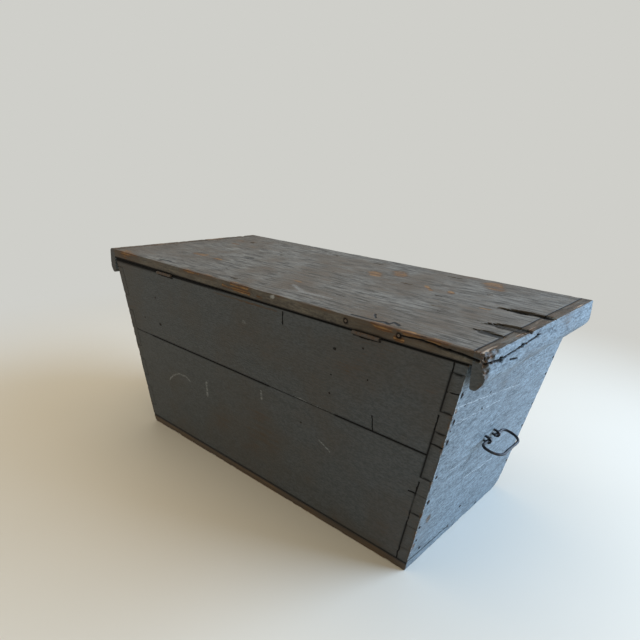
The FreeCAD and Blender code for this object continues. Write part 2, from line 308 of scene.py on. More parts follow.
def wear_case(points, outline):
    """Worn points of a board of the case, with what the paint reads at each of them."""
    planes = case_planes(points)
    arris = near_arris(planes)
    skin = nearest_plane(planes)
    foot_edge = np.hypot(skin, points[:, 2])
    rim_edge = np.hypot(skin, points[:, 2] - rim.z)
    seams = (outline == 1) | (outline == 3) | ((outline == 2) & (skin < -0.3))
    seams = seams & (arris > 3) & (rim_edge > 3) & (foot_edge > 3)
    joint = np.zeros(len(points))
    if seams.any():
        joint = np.exp(-(near_points(points, points[seams]) / joint_reach) ** 2)
    joint = joint * (1 - painted_over(points))
    joint = np.maximum(joint, np.exp(-((points[:, 2] - ledge.z) / foot_seam_reach) ** 2) * (skin > -6))
    waves = 0.25 + 0.25 * lumps(points, (170, 150, 60)) + 0.12 * lumps(points, (34, 34, 9), 5.0)
    chips = ease(lumps(points, (13, 13, 10), 31.0), 0.1, 0.45)
    dragged = ease(np.hypot(points[:, 0] + end_outer(0), points[:, 1] + side_outer(0)), *dragged_reach)
    least, usual, most = arris_round
    radius = np.clip(usual + 0.8 * lumps(points, (38, 38, 26), 9.0) + 2.6 * chips, least, most)
    points = plane_off(points, planes, np.where(skin > -skin_depth, waves, 0), skin_depth)
    points = round_over(points, case_planes(points) + [floor_plane(points)], radius)
    dragged_radius = radius + dragged_round * dragged
    points = round_over(points, [case_planes(points)[1], floor_plane(points)], dragged_radius)
    points = round_over(points, case_planes(points) + [((0, 0, 1), points[:, 2] - rim.z)], rim_round)
    patchy = np.clip(0.5 + 1.1 * lumps(points, (40, 40, 30), 61.0), 0, 1)
    worn = np.exp(-arris / 3.5) * (0.5 * patchy + 0.9 * chips)
    worn = np.maximum(worn, np.exp(-foot_edge / 5.0) * 0.5 * patchy)
    nicks = ease(lumps(points, (7, 7, 9), 77.0), 0.12, 0.34) * np.exp(-(arris / 3.2) ** 2)
    worn = np.maximum(worn, 1.25 * nicks)
    # Dirt and painted shade along the gap under the lid.
    joint = np.maximum(joint, gap_dirt_and_shade(points, rim_edge, rim_gap_dirt_and_shade, far_rim_gap_dirt_and_shade))
    return points, {"worn": worn, "joint": joint, "gouged": 0 * worn}


print("arrises of the case are round by", arris_round, "mm: the least, the usual and the most")

# %% From points to pieces
sharp_angle = 38
paint_depth, outwards = 9, 0.55


def stand(name, data):
    """An object that shows a mesh, lamp or camera, put in the scene."""
    made = bpy.data.objects.new(name, data)
    bpy.context.scene.collection.objects.link(made)
    return made


def board_object(name, points, quads, traces, finish):
    """A mesh object in its place. finish gives the number of the material of each face."""
    mesh = bpy.data.meshes.new(name)
    a, b, c, d = (points[quads[:, k]] for k in range(4))
    if np.einsum("ij,ij->i", a, np.cross(c - a, d - b)).sum() < 0:
        quads = quads[:, ::-1]
    mesh.from_pydata(points * MILLIMETRE, [], quads)
    for label, values in traces.items():
        mesh.attributes.new(label, "FLOAT", "POINT").data.foreach_set("value", np.float32(values))
    middle = points[quads].mean(axis=1)
    facing = np.cross(points[quads[:, 2]] - points[quads[:, 0]], points[quads[:, 3]] - points[quads[:, 1]])
    facing /= np.maximum(np.linalg.norm(facing, axis=1, keepdims=True), 1e-9)
    mesh.polygons.foreach_set("material_index", finish(middle, facing))
    mesh.polygons.foreach_set("use_smooth", np.ones(len(quads), bool))
    mesh.set_sharp_from_angle(angle=math.radians(sharp_angle))
    print(name, len(points), "points,", 2 * len(quads), "triangles")
    return stand(name, mesh)


def case_finish(middle, facing):
    """0 for paint on the long sides, 1 for paint on the ends and 2 for wood that nobody painted."""
    number = np.full(len(middle), 2)
    planes = case_planes(middle)
    for normal, distance in planes:
        number[(distance > -paint_depth) & (np.abs(facing @ np.array(normal)) < outwards)] = 0
    for k, (normal, distance) in enumerate(planes):
        seen = (distance > -paint_depth) & (facing @ np.array(normal) > outwards)
        number[seen] = 1 - k % 2
    return number


print("paint runs round an arris as far as", paint_depth, "mm")

# %% [markdown]
# ## The dovetailed boards
# At each corner, tails on the end board and pins on the long board take turns. Both are boards with a comb
# of fingers along two edges, so one function makes all eight planks. It is given the heights between which
# a finger stands. The sides of a finger lean by the same amount on both boards, so that they fit together.

# %% Where the fingers stand
tail_shares = [(0.077, 0.203), (0.278, 0.378), (0.468, 0.692), (0.787, 0.953)]
finger_gap = 0.06
finger_lean = side_wall / 6.0
long_gap, end_gap = 0.6, 0.1
long_groove, end_groove = 1.4, 0.1
tails = [tuple(ledge.z + share * (rim.z - ledge.z) for share in pair) for pair in tail_shares]
tail_fingers = [(low + finger_gap / 2, high - finger_gap / 2) for low, high in tails]
pin_starts = [ledge.z] + [high + finger_gap / 2 for low, high in tails]
pin_ends = [low - finger_gap / 2 for low, high in tails] + [rim.z]
pin_fingers = list(zip(pin_starts, pin_ends))
through_board = [0.0, 0.03, 0.1, 0.3, 0.6, 0.88, 1.0]
middle_height = (ledge.z + rim.z) / 2
plank_steps = (3.6, 6.5)
print("tails between", [(round(low, 1), round(high, 1)) for low, high in tails])

# %% Cut the dovetails


def comb(low, high, fingers, lean, half, tip):
    """Lattice of one plank: heights outside and inside, places across, and which cells are wood."""
    heights = sorted({low, high} | {z for finger in fingers for z in finger if low < z < high})
    shift = {low: 0.0, high: 0.0}
    for start, end in fingers:
        shift.setdefault(start, lean)
        shift.setdefault(end, -lean)
    outside = lattice_lines(heights, plank_steps[0])
    inside = np.interp(outside, heights, [z + shift[z] for z in heights])
    across = lattice_lines([-half - tip, -half, half, half + tip], plank_steps[1])
    z = (outside[:-1] + outside[1:]) / 2
    place = (across[:-1] + across[1:]) / 2
    in_finger = np.any([(z > start) & (z < end) for start, end in fingers], axis=0)
    return outside, inside, across, in_finger[:, None] | (np.abs(place) < half)[None]


def long_points(side, outside, inside, across):
    """Points of a back or front plank. The place across is measured at the middle height."""
    half = end_inner(middle_height)
    layers = []
    for depth in through_board:
        z = (outside + (inside - outside) * depth)[:, None]
        body = np.clip(across, -half, half)[None] / half * end_inner(z)
        x = body + (across - np.clip(across, -half, half))[None]
        y = side * (side_outer(z) - side_wall * depth) + 0 * x
        layers.append(np.stack([x, y, z + 0 * x], -1))
    return np.array(layers)


def end_points(side, outside, inside, across):
    """Points of an end plank. Its tails slope up and down towards their tips."""
    half = side_inner(middle_height)
    tip = np.clip((np.abs(across) - half) / side_wall, 0, 1)[None]
    z = inside[:, None] + (outside - inside)[:, None] * tip
    y = np.clip(across, -half, half)[None] / half * side_inner(z)
    y = y + np.sign(across)[None] * tip * side_wall
    x = [side * (end_outer(z) - end_wall * depth) for depth in through_board]
    return np.array([np.stack([place, y, z], -1) for place in x])


print("layers through a board", len(through_board), "steps along and across", plank_steps, "mm")

# %% Cut and place the eight planks


def plank(name, low, high, side, long_side):
    """One plank of the case, worn and in place, with a shallow groove where it meets its neighbours."""
    if long_side:
        fingers, lean, groove = pin_fingers, -finger_lean, long_groove
        half, tip = end_inner(middle_height), end_wall
    else:
        fingers, lean, groove = tail_fingers, finger_lean, end_groove
        half, tip = side_inner(middle_height), side_wall
    outside, inside, across, wood = comb(low, high, fingers, lean, half, tip)
    points = (long_points if long_side else end_points)(side, outside, inside, across)
    edge = edge_of(wood)[2]
    points[0][edge] += (points[-1] - points[0])[edge] * (groove / board_thickness)
    points, quads, outline = lattice_solid(points, wood)
    points, traces = wear_case(points, outline)
    return board_object(name, points, quads, traces, case_finish)


case_boards = {}
walls = (("back", 1, True), ("front", -1, True), ("left", -1, False), ("right", 1, False))
for wall, side, long_side in walls:
    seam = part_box(wall + "_board_lower")[1].z / MILLIMETRE
    gap = long_gap if long_side else end_gap
    for level, low, high in (("lower", ledge.z, seam), ("upper", seam + gap, rim.z)):
        name = wall + "_board_" + level
        case_boards[name] = plank(name + "_worn", low, high, side, long_side)

# %% [markdown]
# ## The bottom
# Two planks are nailed up under the sides. Only their edges show, as a thin brown line round the foot,
# because nobody painted them. They use the same lattice, laid flat, and their edges carry on the splay.

# %% Lay the bottom planks
through_bottom = np.array([0.0, 0.06, 0.3, 0.7, 0.94, 1.0])
bottom_width = 200.0
bottom_steps = (7.0, 8.0)


def flat_plank(name, y_low, y_high):
    """A bottom plank between two edges, given as functions of the height."""
    across = lattice_lines([-ledge.x, ledge.x], bottom_steps[0])
    share = lattice_lines([0.0, bottom_width], bottom_steps[1]) / bottom_width
    layers = []
    for z in ledge.z * (1 - through_bottom):
        x = (across / ledge.x * end_outer(z))[None]
        y = (y_low(z) + (y_high(z) - y_low(z)) * share)[:, None]
        layers.append(np.stack([x + 0 * y, y + 0 * x, z + 0 * (x + y)], -1))
    points, quads, outline = full_solid(layers)
    points, traces = wear_case(points, 0 * outline)
    return board_object(name, points, quads, traces, case_finish)


seam_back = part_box("bottom_board_back")[0].y / MILLIMETRE
seam_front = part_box("bottom_board_front")[1].y / MILLIMETRE
bottom_edges = {
    "bottom_board_back": (lambda z: seam_back, side_outer),
    "bottom_board_front": (lambda z: -side_outer(z), lambda z: seam_front),
}
bottom_planks = {name: flat_plank(name + "_worn", *edges) for name, edges in bottom_edges.items()}

# %% [markdown]
# ## The lid
# One wide board with a strip nailed over each end grain. Its upper arrises are worn round, the back one
# most of all, and three old gouges run into its left end beside the strip. The lattice gets extra lines
# along the gouges, so that they are real hollows and not drawn on. The underside stays flat on the rim.

# %% Lid sizes, gouges and splits
lid_low, lid_high = (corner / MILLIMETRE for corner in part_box("lid_board"))
strip_low, strip_high = (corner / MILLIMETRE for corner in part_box("lid_strip_right"))
lid_middle = (lid_low.y + lid_high.y) / 2
lid_half = (lid_high.y - lid_low.y) / 2
# From, to, width, depth, and how dark the bottom of the gouge is.
gouges = [
    ((-402, -29), (-480, -30), 14.0, 4.0, 1.5),
    ((-428, 84), (-480, 80), 18.0, 2.6, 0.75),
    ((-426, 132), (-468, 139), 10.0, 1.6, 0.7),
]
# x and z along the back edge of the lid, then y and z along the left strip, each with width and depth.
edge_splits = [
    (-352, 434, -392, 436, 1.8, 1.2), (-392, 436, -437, 433, 2.6, 2.2), (-437, 433, -482, 430, 3.0, 3.0),
]
strip_splits = [
    (240, 431, 185, 424, 2.4, 2.4), (185, 424, 108, 428, 2.2, 2.0), (108, 428, 38, 431, 2.0, 1.6),
    (150, 416, 124, 411, 2.0, 1.6), (188, 425, 180, 423, 5.2, 4.0), (111, 428, 106, 428, 4.4, 3.4),
    (49, 431, 46, 431, 4.4, 3.4), (233, 437, 231, 437, 4.6, 4.0),
]
splits = [((a, lid_high.y, b), (c, lid_high.y, d), *cut) for a, b, c, d, *cut in edge_splits]
splits += [((-strip_high.x, a, b), (-strip_high.x, c, d), *cut) for a, b, c, d, *cut in strip_splits]
# From and to along the back edge, and how much it is rubbed there.
rubbed_places = [(-495, -300, 1.0), (-235, -140, 0.75), (-20, 48, 0.7), (85, 205, 0.8), (370, 440, 0.55)]
print("lid board", [round(size, 1) for size in lid_high - lid_low], "mm, splits", len(splits))

# %% How the lid wears
lid_joint_reach = 1.5
lid_round = (1.2, 2.4, 7.0)
lid_skin_depth = 3.0


def lid_planes(points):
    """The outer planes of the closed lid, as (outward normal, distance of each point)."""
    x, y, z = points.T
    return [
        ((-1, 0, 0), -x - strip_high.x),
        ((1, 0, 0), x - strip_high.x),
        ((0, -1, 0), lid_low.y - y),
        ((0, 1, 0), y - lid_high.y),
        ((0, 0, 1), z - lid_high.z),
    ]


def wear_lid(points, outline):
    """Worn points of a piece of the lid, with what the paint reads at each of them."""
    planes = lid_planes(points)
    arris = near_arris(planes)
    skin = nearest_plane(planes)
    seams = points[(outline == 1) & (arris > 2.5)]
    joint = np.exp(-(near_points(points, seams) / lid_joint_reach) ** 2)
    x, y, z = points.T
    top = ease(z, lid_high.z - 3, lid_high.z - 1)
    waves = 0.35 + 0.35 * lumps(points, (230, 60, 60), 3.0) + 0.15 * lumps(points, (60, 7, 30), 5.0)
    hollow = 0.5 * ease(lumps(points, (90, 30, 40), 17.0), 0.1, 0.6)
    chips = ease(lumps(points, (26, 12, 10), 23.0), 0.15, 0.5)
    rubbed = sum(ease(x, low - 12, low + 12) * ease(-x, -high - 12, 12 - high) * much
                 for low, high, much in rubbed_places)
    rubbed = rubbed * np.clip(0.85 + 0.6 * lumps(points, (30, 300, 300), 71.0), 0, 1)
    least, usual, most = lid_round
    radius = usual + 1.3 * lumps(points, (45, 40, 20), 11.0) + 2.8 * chips + 1.6 * rubbed
    depth = np.where(skin > -lid_skin_depth, waves, 0) + hollow * top
    cuts = np.zeros(len(points))
    for start, end, width, deep, dark in gouges:
        distance, share = near_line(points[:, :2], start, end)
        splinters = lumps(points, (40, 2.2, 9), 41.0)
        ragged = width * (0.35 + 0.65 * ease(share, 0, 0.45) + 0.5 * splinters)
        hole = (1 - ease(distance, 0.7 * ragged, ragged)) * top
        depth = depth + deep * hole * (1 + 0.5 * splinters)
        cuts = np.maximum(cuts, hole * np.clip(dark + 0.35 * (1 - share) ** 3 + 1.2 * splinters, 0, 1))
    for start, end, width, deep in splits:
        distance, share = near_line(points + 1.1 * lumps(points, (15, 15, 15), 47.0)[:, None], start, end)
        hole = 1 - ease(distance, 0.4 * width, width)
        depth = depth + deep * hole
        cuts = np.maximum(cuts, hole)
    points = plane_off(points, planes, depth, lid_skin_depth)
    points = round_over(points, lid_planes(points), np.clip(radius, least, most))
    back_edge = (1 - ease(arris, 4, 13)) * (y > lid_high.y - 14) * (0.1 + 0.8 * rubbed)
    worn = np.exp(-arris / 5.0) * (0.15 + 0.4 * chips) + back_edge
    worn = np.clip(worn * (1 + 1.1 * lumps(points, (40, 9, 7), 13.0)), 0, 1)
    return points, {"worn": worn, "joint": joint, "gouged": cuts}


print("arrises of the lid are round by", lid_round, "mm: the least, the usual and the most")

# %% Make the lid board
lid_thickness = lid_high.z - lid_low.z
gouge_bands, gouge_step = ((-45, -14), (62, 102), (120, 152)), 1.1
gouge_ends, gouge_end_step = (-472, -398), 2.5
lid_steps = (7.5, 3.8)
under_round = 2.4
# Dirt and painted shade of the gap along the lower edge of the lid: where it is full, where it has faded, and
# how much wider at the right end.
under_gap_dirt_and_shade, far_under_gap_dirt_and_shade = (1.0, 2.3), (2.2, 3.5)
through_lid = [0.0, 0.08, *np.linspace(0.18, 0.82, 13), 0.93, 1.0]
gouge_rows = np.concatenate([np.arange(*band, gouge_step) for band in gouge_bands])
lid_across = lattice_lines([lid_low.x, lid_high.x], lid_steps[0])
lid_across = np.unique(np.concatenate([lid_across, np.arange(*gouge_ends, gouge_end_step)]))
lid_rows = np.unique(np.concatenate([lattice_lines([lid_low.y, lid_high.y], lid_steps[1]), gouge_rows]))
x, y = np.meshgrid(lid_across, lid_rows)
lid_layers = [np.stack([x, y, lid_high.z - lid_thickness * depth + 0 * x], -1) for depth in through_lid]
points, quads, outline = full_solid(lid_layers)
points, traces = wear_lid(points, outline)
under = [((0, 0, -1), lid_low.z - points[:, 2]), ((0, 1, 0), points[:, 1] - lid_high.y),
         ((0, -1, 0), lid_low.y - points[:, 1])]
points = round_over(points, under, under_round)
outer = nearest_plane(lid_planes(points))
# The lower edges of the lid get dirt and painted shade of the gap, fading out 5 to 9 mm in from the outside.
dirt = gap_dirt_and_shade(points, points[:, 2] - lid_low.z, under_gap_dirt_and_shade, far_under_gap_dirt_and_shade) * ease(outer, -9, -5)
traces["joint"] = np.maximum(traces["joint"], dirt)


def lid_finish(middle, facing):
    """0 for paint, 1 for the bare underside, short of its edges, and 2 for paint on the edges."""
    inboard = np.abs(middle[:, 1] - lid_middle) < lid_half - 8
    number = np.where(facing[:, 2] > 0.6, 0, 2)
    return np.where((facing[:, 2] < -0.5) & inboard, 1, number)


lid = board_object("lid_board_worn", points, quads, traces, lid_finish)

# %% [markdown]
# ## The end strips
# A strip is square above and rounded below on the outside, like the nose of a shelf. Its outline is a
# table of how far it stands out at each height. The lattice runs along the strip, so its two ends are
# proper end grain. The near end of the left strip has lost splinters beside its nail.

# %% Outline and chips of a strip
# The outline: heights above the lower edge, and how far the face stands out there.
strip_outside = [(0, 5.5), (0.4, 8.0), (1, 9.4), (2, 10.8), (3.2, 11.9), (10.1, 17.1), (14, 19.4), (18, 20.8),
                 (23.3, 21.5), (57, 21.5)]
strip_inside = [(0, 4.0), (0.4, 2.3), (1, 1.35), (2, 0.55), (4, 0), (57, 0)]
strip_width = 21.5
# Lost splinters: the middle, the size and the depth.
strip_chips = [
    ((-499, 233, 436), 17.0, 8.0), ((-498, 216, 440), 13.0, 6.0), ((-499, 228, 418), 12.0, 5.0),
    ((-498, 201, 442), 9.0, 3.5), ((-499, 166, 443), 7.0, 2.5), ((-499, 92, 443), 8.0, 2.2),
    ((497, -196, 440), 11.0, 4.0),
]
chip_ways = (0.7, 0.35, 0.5)
strip_steps = (2.8, 3.0, 2.4)
strip_sink = 0.5
print("a strip stands out by", strip_width, "mm, lost splinters", len(strip_chips))

# %% Make the strips


def strip(name, side):
    """One end strip, worn and in place."""
    height = strip_high.z - strip_low.z
    up = np.unique(np.concatenate([[0, 0.4, 1, 2, 3.2, 4.6], lattice_lines([6.0, height], strip_steps[0]),
                                   np.arange(22.0, 53.0, 1.2)]))
    inner = np.interp(up, *zip(*strip_inside))
    outer = np.interp(up, *zip(*strip_outside))
    share = lattice_lines([0.0, strip_width], strip_steps[1]) / strip_width
    stations = lattice_lines([strip_low.y, strip_high.y], strip_steps[2])[::-1]
    out = inner[:, None] + (outer - inner)[:, None] * share[None]
    x = side * (strip_low.x + out)
    z = strip_low.z + up[:, None] + 0 * x
    points, quads, outline = full_solid([np.stack([x, station + 0 * x, z], -1) for station in stations])
    meets_lid = (np.abs(points[:, 0]) < strip_low.x + 0.1) & (points[:, 2] > strip_high.z - 0.1)
    points[meets_lid, 2] -= strip_sink
    points, traces = wear_lid(points, meets_lid)
    worn = traces["worn"]
    for centre, size, deep in strip_chips:
        distance = np.linalg.norm(points - np.array(centre), axis=1)
        ragged = size * (1 + 0.35 * lumps(points, (6, 6, 4), 51.0))
        loss = 1 - ease(distance, 0.35 * ragged, ragged)
        points = points - np.outer(deep * loss, np.sign(centre) * chip_ways)
        worn = np.maximum(worn, loss)
    rubbed = 0.42 + 0.5 * lumps(points, (14, 60, 14), 81.0)
    worn = np.where((points[:, 2] > strip_high.z - 2) & (np.abs(points[:, 0]) < strip_high.x - 2),
                    np.maximum(worn, rubbed), worn)
    traces["worn"] = worn
    return board_object(name, points, quads, traces, strip_finish)


def strip_finish(middle, facing):
    """0 for paint, 1 for the bare face against the lid, 2 for end grain in painted shade, 3 for the rubbed
    top.
    """
    bare = (facing[:, 0] * np.sign(middle[:, 0]) < -0.5) & (middle[:, 2] > lid_low.z)
    number = np.where(bare, 1, np.where(facing[:, 2] > 0.8, 3, 0))
    return np.where(np.abs(facing[:, 1]) > 0.75, 2, number)


strips = {"lid_strip_" + wall: strip(f"lid_strip_{wall}_worn", side) for side, wall in ends.items()}

# %% [markdown]
# ## A short way to add a node
# A material is a tree of nodes. One helper adds a node, sets its options and fills its inputs, with a plain
# value or with a link from another node. A Map Range node takes its value, the range that goes in and the
# range that comes out, and a Mix node takes a share and two things to mix. Colours are written as they look
# on screen and turned into the linear values that the renderer works with.

# %% Node helper and colours
option_of = {"Math": "operation", "VectorMath": "operation", "Mix": "data_type",
             "MapRange": "interpolation_type", "Attribute": "attribute_name"}


def fill(tree, node, *inputs, **named):
    """Fills inputs of a node, in order or by name, with a plain value or with what another node gives."""
    sockets = [socket for socket in node.inputs if socket.enabled][:len(inputs)]
    sockets += [node.inputs[name.replace("_", " ")] for name in named]
    for socket, value in zip(sockets, [*inputs, *named.values()]):
        if isinstance(value, bpy.types.Node):
            value = next(output for output in value.outputs if output.enabled)
        if isinstance(value, bpy.types.NodeSocket):
            tree.links.new(value, socket)
        else:
            socket.default_value = value


def add(tree, kind, option="", *inputs, **named):
    """Adds a node, sets the option that its kind has, or several from a table, and fills its inputs."""
    node = tree.nodes.new(kind if "Node" in kind else "ShaderNode" + kind)
    if isinstance(option, str):
        option = {option_of[kind]: option} if option else {}
    for name, value in option.items():
        setattr(node, name, value)
    fill(tree, node, *inputs, **named)
    return node


def group_sockets(tree, way, **kinds):
    """Names what a group takes or gives: a kind of socket, or the usual value of a number."""
    for name, kind in kinds.items():
        number = isinstance(kind, float)
        made = tree.interface.new_socket(name.replace("_", " "), in_out=way,
                                         socket_type="NodeSocket" + ("Float" if number else kind))
        if number:
            made.default_value = kind


def linear(colour):
    """The four linear numbers of a colour written as #rrggbb."""
    parts = [int(colour[k:k + 2], 16) / 255 for k in (1, 3, 5)]
    return [c / 12.92 if c < 0.04045 else ((c + 0.055) / 1.055) ** 2.4 for c in parts] + [1.0]


print("slate #63686b is linear", [round(c, 3) for c in linear("#63686b")])

# %% [markdown]
# ## Scratches, cracks and bare spots
# Each mark on the paint is a short line in space with a width. A node group gives 1 on the line and 0 away
# from it, whatever board it lies on, so a crack carries on round an edge as it does in wood. The line is
# bent a little by noise, because nothing on old wood is quite straight.

# %% The mark group


def mark_group():
    """Node group: how strongly a place is marked by a line between two points, in metres."""
    tree = bpy.data.node_groups.new("mark_on_paint", "ShaderNodeTree")
    group_sockets(tree, "INPUT", Place="Vector", From="Vector", To="Vector", Width="Float")
    group_sockets(tree, "OUTPUT", Mark="Float")
    given = add(tree, "NodeGroupInput").outputs
    here = add(tree, "VectorMath", "SUBTRACT", given["Place"], given["From"])
    way = add(tree, "VectorMath", "SUBTRACT", given["To"], given["From"])
    along = add(tree, "VectorMath", "DOT_PRODUCT", here, way)
    whole = add(tree, "VectorMath", "DOT_PRODUCT", way, way)
    share = add(tree, "Math", {"operation": "DIVIDE", "use_clamp": True}, along, whole)
    foot = add(tree, "VectorMath", "SCALE", way, share)
    off = add(tree, "VectorMath", "DISTANCE", here, foot)
    inner = add(tree, "Math", "MULTIPLY", given["Width"], 0.35)
    mark = add(tree, "MapRange", "SMOOTHSTEP", off, inner, given["Width"], 1.0, 0.0)
    add(tree, "NodeGroupOutput", Mark=mark)
    return tree


mark_on_paint = mark_group()


def add_marks(tree, place, marks):
    """The strongest of several marks, each (from, to, width) in millimetres."""
    strongest = None
    for start, end, width in marks:
        start, end = ([c * MILLIMETRE for c in corner] for corner in (start, end))
        mark = add(tree, "Group", {"node_tree": mark_on_paint}, place, start, end, width * MILLIMETRE)
        strongest = add(tree, "Math", "MAXIMUM", strongest, mark) if strongest else mark
    return strongest

# %% [markdown]
# ## Painted pine
# The paint is a slate-grey farmhouse paint, brushed on in one thin coat over pine. It has gone matt and
# mottled, with a film of brown dirt. Where the trunk was rubbed, it thins along the hard late-wood lines
# first and then shows brown pine. That order is what makes it look real: the grain decides where the paint
# breaks. Growth rings are about 4 mm apart, and the fibres under the brush about 1 mm wide.

# %% Wood in a material


def new_material(name):
    """A material, with its tree, its shader and the place of each point in metres."""
    material = bpy.data.materials.new(name)
    material.use_nodes = True
    tree = material.node_tree
    return material, tree, tree.nodes["Principled BSDF"], add(tree, "TexCoord").outputs["Object"]


def wood_space(tree, place, along, share):
    """Object coordinates squeezed along the grain, so that a round pattern becomes a long streak."""
    squeeze = (share, 1, 1) if along == "X" else (1, share, 1)
    return add(tree, "VectorMath", "MULTIPLY", place, squeeze)


def growth_rings(tree, streaky, along):
    """Late-wood lines: rings round the heart of the tree, which lay 90 mm under the board."""
    heart = add(tree, "VectorMath", "ADD", streaky, (0.011, 0.013, -0.09))
    return add(tree, "TexWave", {"wave_type": "RINGS", "rings_direction": along}, Vector=heart, Scale=74.0,
               Distortion=5.0, Detail=3.0, Detail_Scale=0.6, Detail_Roughness=0.6)

# %% Painted pine


def painted_pine(kind, along, paint, wood, marks, grain, fineness, dirt, thinness, seams, chalky, shine=0.22):
    """Old slate-grey paint on pine. grain, dirt and thinness say how much of each shows."""
    cracks_and_shadows, scrapes_and_highlights, bare_spots = marks
    material, tree, shader, place = new_material("painted_pine_" + kind)
    wander = add(tree, "TexNoise", Vector=place, Scale=90.0, Detail=3.0)
    bent = add(tree, "VectorMath", "MULTIPLY_ADD", wander.outputs["Color"], (0.005, 0.005, 0.005), place)
    bent = add(tree, "VectorMath", "SUBTRACT", bent, (0.0025, 0.0025, 0.0025))
    streaky = wood_space(tree, place, along, 0.13)
    broad = wood_space(tree, place, along, 0.2)
    rings = growth_rings(tree, wood_space(tree, place, along, 0.06), along)
    fibres = add(tree, "TexNoise", Vector=streaky, Scale=fineness, Detail=4.0, Roughness=0.7)
    streaks = add(tree, "TexNoise", Vector=broad, Scale=75.0, Detail=5.0, Roughness=0.62)
    dabs = wood_space(tree, place, along, 0.42)
    mottle = add(tree, "TexNoise", Vector=dabs, Scale=310.0, Detail=5.0, Roughness=0.75)
    patches = add(tree, "TexNoise", Vector=place, Scale=8.0, Detail=5.0, Roughness=0.55)
    traces = [add(tree, "Attribute", name).outputs["Fac"] for name in ("worn", "joint", "gouged")]
    worn, joint, gouged = traces

    # How far the paint is gone: rubbed edges and spots, then patches, then the grain inside a patch.
    gone = add(tree, "Math", "MAXIMUM", worn, add_marks(tree, bent, bare_spots))
    gone = add(tree, "Math", "MULTIPLY_ADD", gone, 1.1, thinness)
    shares = ((patches, 3.0), (streaks, 1.2 + grain), (fibres, grain), (mottle, 1.3), (rings, 0.2))
    for pattern, share in shares:
        middle = add(tree, "Math", "SUBTRACT", pattern, 0.5)
        gone = add(tree, "Math", "MULTIPLY_ADD", middle, share, gone)
    bare = add(tree, "MapRange", "SMOOTHSTEP", gone, 0.78, 1.1)
    thin = add(tree, "MapRange", "SMOOTHSTEP", gone, -0.1, 0.7)

    brushed = add(tree, "MapRange", "", fibres, 0.5 - 0.12 / (0.3 + grain), 0.5 + 0.12 / (0.3 + grain))
    speckled = add(tree, "MapRange", "", mottle, 0.44, 0.56)
    even = add(tree, "Mix", "FLOAT", 1 / (1 + 2 * grain), brushed, speckled)
    swept = add(tree, "Math", "SUBTRACT", streaks, 0.5)
    even = add(tree, "Math", {"operation": "MULTIPLY_ADD", "use_clamp": True}, swept, 1.9 * grain, even)
    tone = add(tree, "Mix", "RGBA", even, linear(paint[0]), linear(paint[1]))
    cloud = add(tree, "MapRange", "", patches, 0.43, 0.57, 0.2, 1.0)
    film = add(tree, "Math", "MULTIPLY", cloud, dirt)
    tone = add(tree, "Mix", "RGBA", film, tone, linear("#433b31"))
    rubbed = add(tree, "Math", "MULTIPLY", thin, 0.72)
    tone = add(tree, "Mix", "RGBA", rubbed, tone, linear("#433629"))
    early = add(tree, "Mix", "RGBA", brushed, linear(wood[0]), linear(wood[1]))
    pine = add(tree, "Mix", "RGBA", rings, early, linear("#4a3220"))
    colour = add(tree, "Mix", "RGBA", bare, tone, pine)

    # Pale chalky scrapes. On the ends this also draws the painted highlight along the corner.
    chalk_and_highlight = add_marks(tree, bent, scrapes_and_highlights)
    broken = add(tree, "MapRange", "", mottle, 0.44, 0.56, 0.25 * chalky, chalky)
    chalk_and_highlight = add(tree, "Math", "MULTIPLY", chalk_and_highlight, broken)
    colour = add(tree, "Mix", "RGBA", chalk_and_highlight, colour, linear("#b4babd"))
    # Cracks, joints and gouges go near black, and with them the painted shadows under the hinge leaves and
    # the painted shade in the gap under the lid.
    dark_lines_and_shade = add_marks(tree, bent, cracks_and_shadows)
    dark_lines_and_shade = add(tree, "Math", "MAXIMUM", dark_lines_and_shade, add(tree, "Math", "MULTIPLY", joint, seams))
    dark_lines_and_shade = add(tree, "Math", "MAXIMUM", dark_lines_and_shade, gouged)
    black = add(tree, "Math", {"operation": "MULTIPLY", "use_clamp": True}, dark_lines_and_shade, 1.05)
    colour = add(tree, "Mix", "RGBA", black, colour, linear("#070605"))

    rough = add(tree, "MapRange", "", mottle, 0.3, 0.7, 0.52, 0.7)
    rough = add(tree, "Math", "MULTIPLY_ADD", bare, 0.16, rough)
    rough = add(tree, "Math", {"operation": "MULTIPLY_ADD", "use_clamp": True}, black, 0.4, rough)
    height = add(tree, "Math", "MULTIPLY_ADD", fibres, 0.3 + 0.7 * grain, mottle)
    height = add(tree, "Math", "MULTIPLY_ADD", rings, 0.25, height)
    height = add(tree, "Math", "MULTIPLY_ADD", bare, -0.5, height)
    height = add(tree, "Math", "MULTIPLY_ADD", dark_lines_and_shade, -1.6, height)
    bump = add(tree, "Bump", Height=height, Strength=0.8, Distance=0.7 * MILLIMETRE)
    fill(tree, shader, Base_Color=colour, Roughness=rough, Normal=bump, Specular_IOR_Level=shine)
    print(material.name, len(tree.nodes), "nodes")
    return material

# %% [markdown]
# ## Where the marks are
# These are read off the photograph and measured back onto the boards: cracks as dark lines, rubs and
# scratches as pale ones, and spots where the paint has been knocked off. The dark line under each hinge leaf
# on the back is a painted shadow, and the pale line down the left corner is a painted highlight. The shoulder
# line of each corner joint is a real gap. The lines across the tail tips are saw cuts and splits, so they are
# marks.

# %% Faces


def on_back(x, z):
    """A place on the outer face of the back, in millimetres."""
    return (x, side_outer(z) - 0.3, z)


def on_left(y, z):
    """A place on the outer face of the left end."""
    return (0.3 - end_outer(z), y, z)


def on_lid(x, y):
    """A place on top of the lid."""
    return (x, y, lid_high.z - 0.5)


def on_lid_edge(x, z):
    """A place on the back edge of the lid."""
    return (x, lid_high.y, z)


def marks(face, *rows):
    """Marks on one face. Each row is from, to and width."""
    return [(face(a, b), face(c, d), width) for a, b, c, d, width in rows]


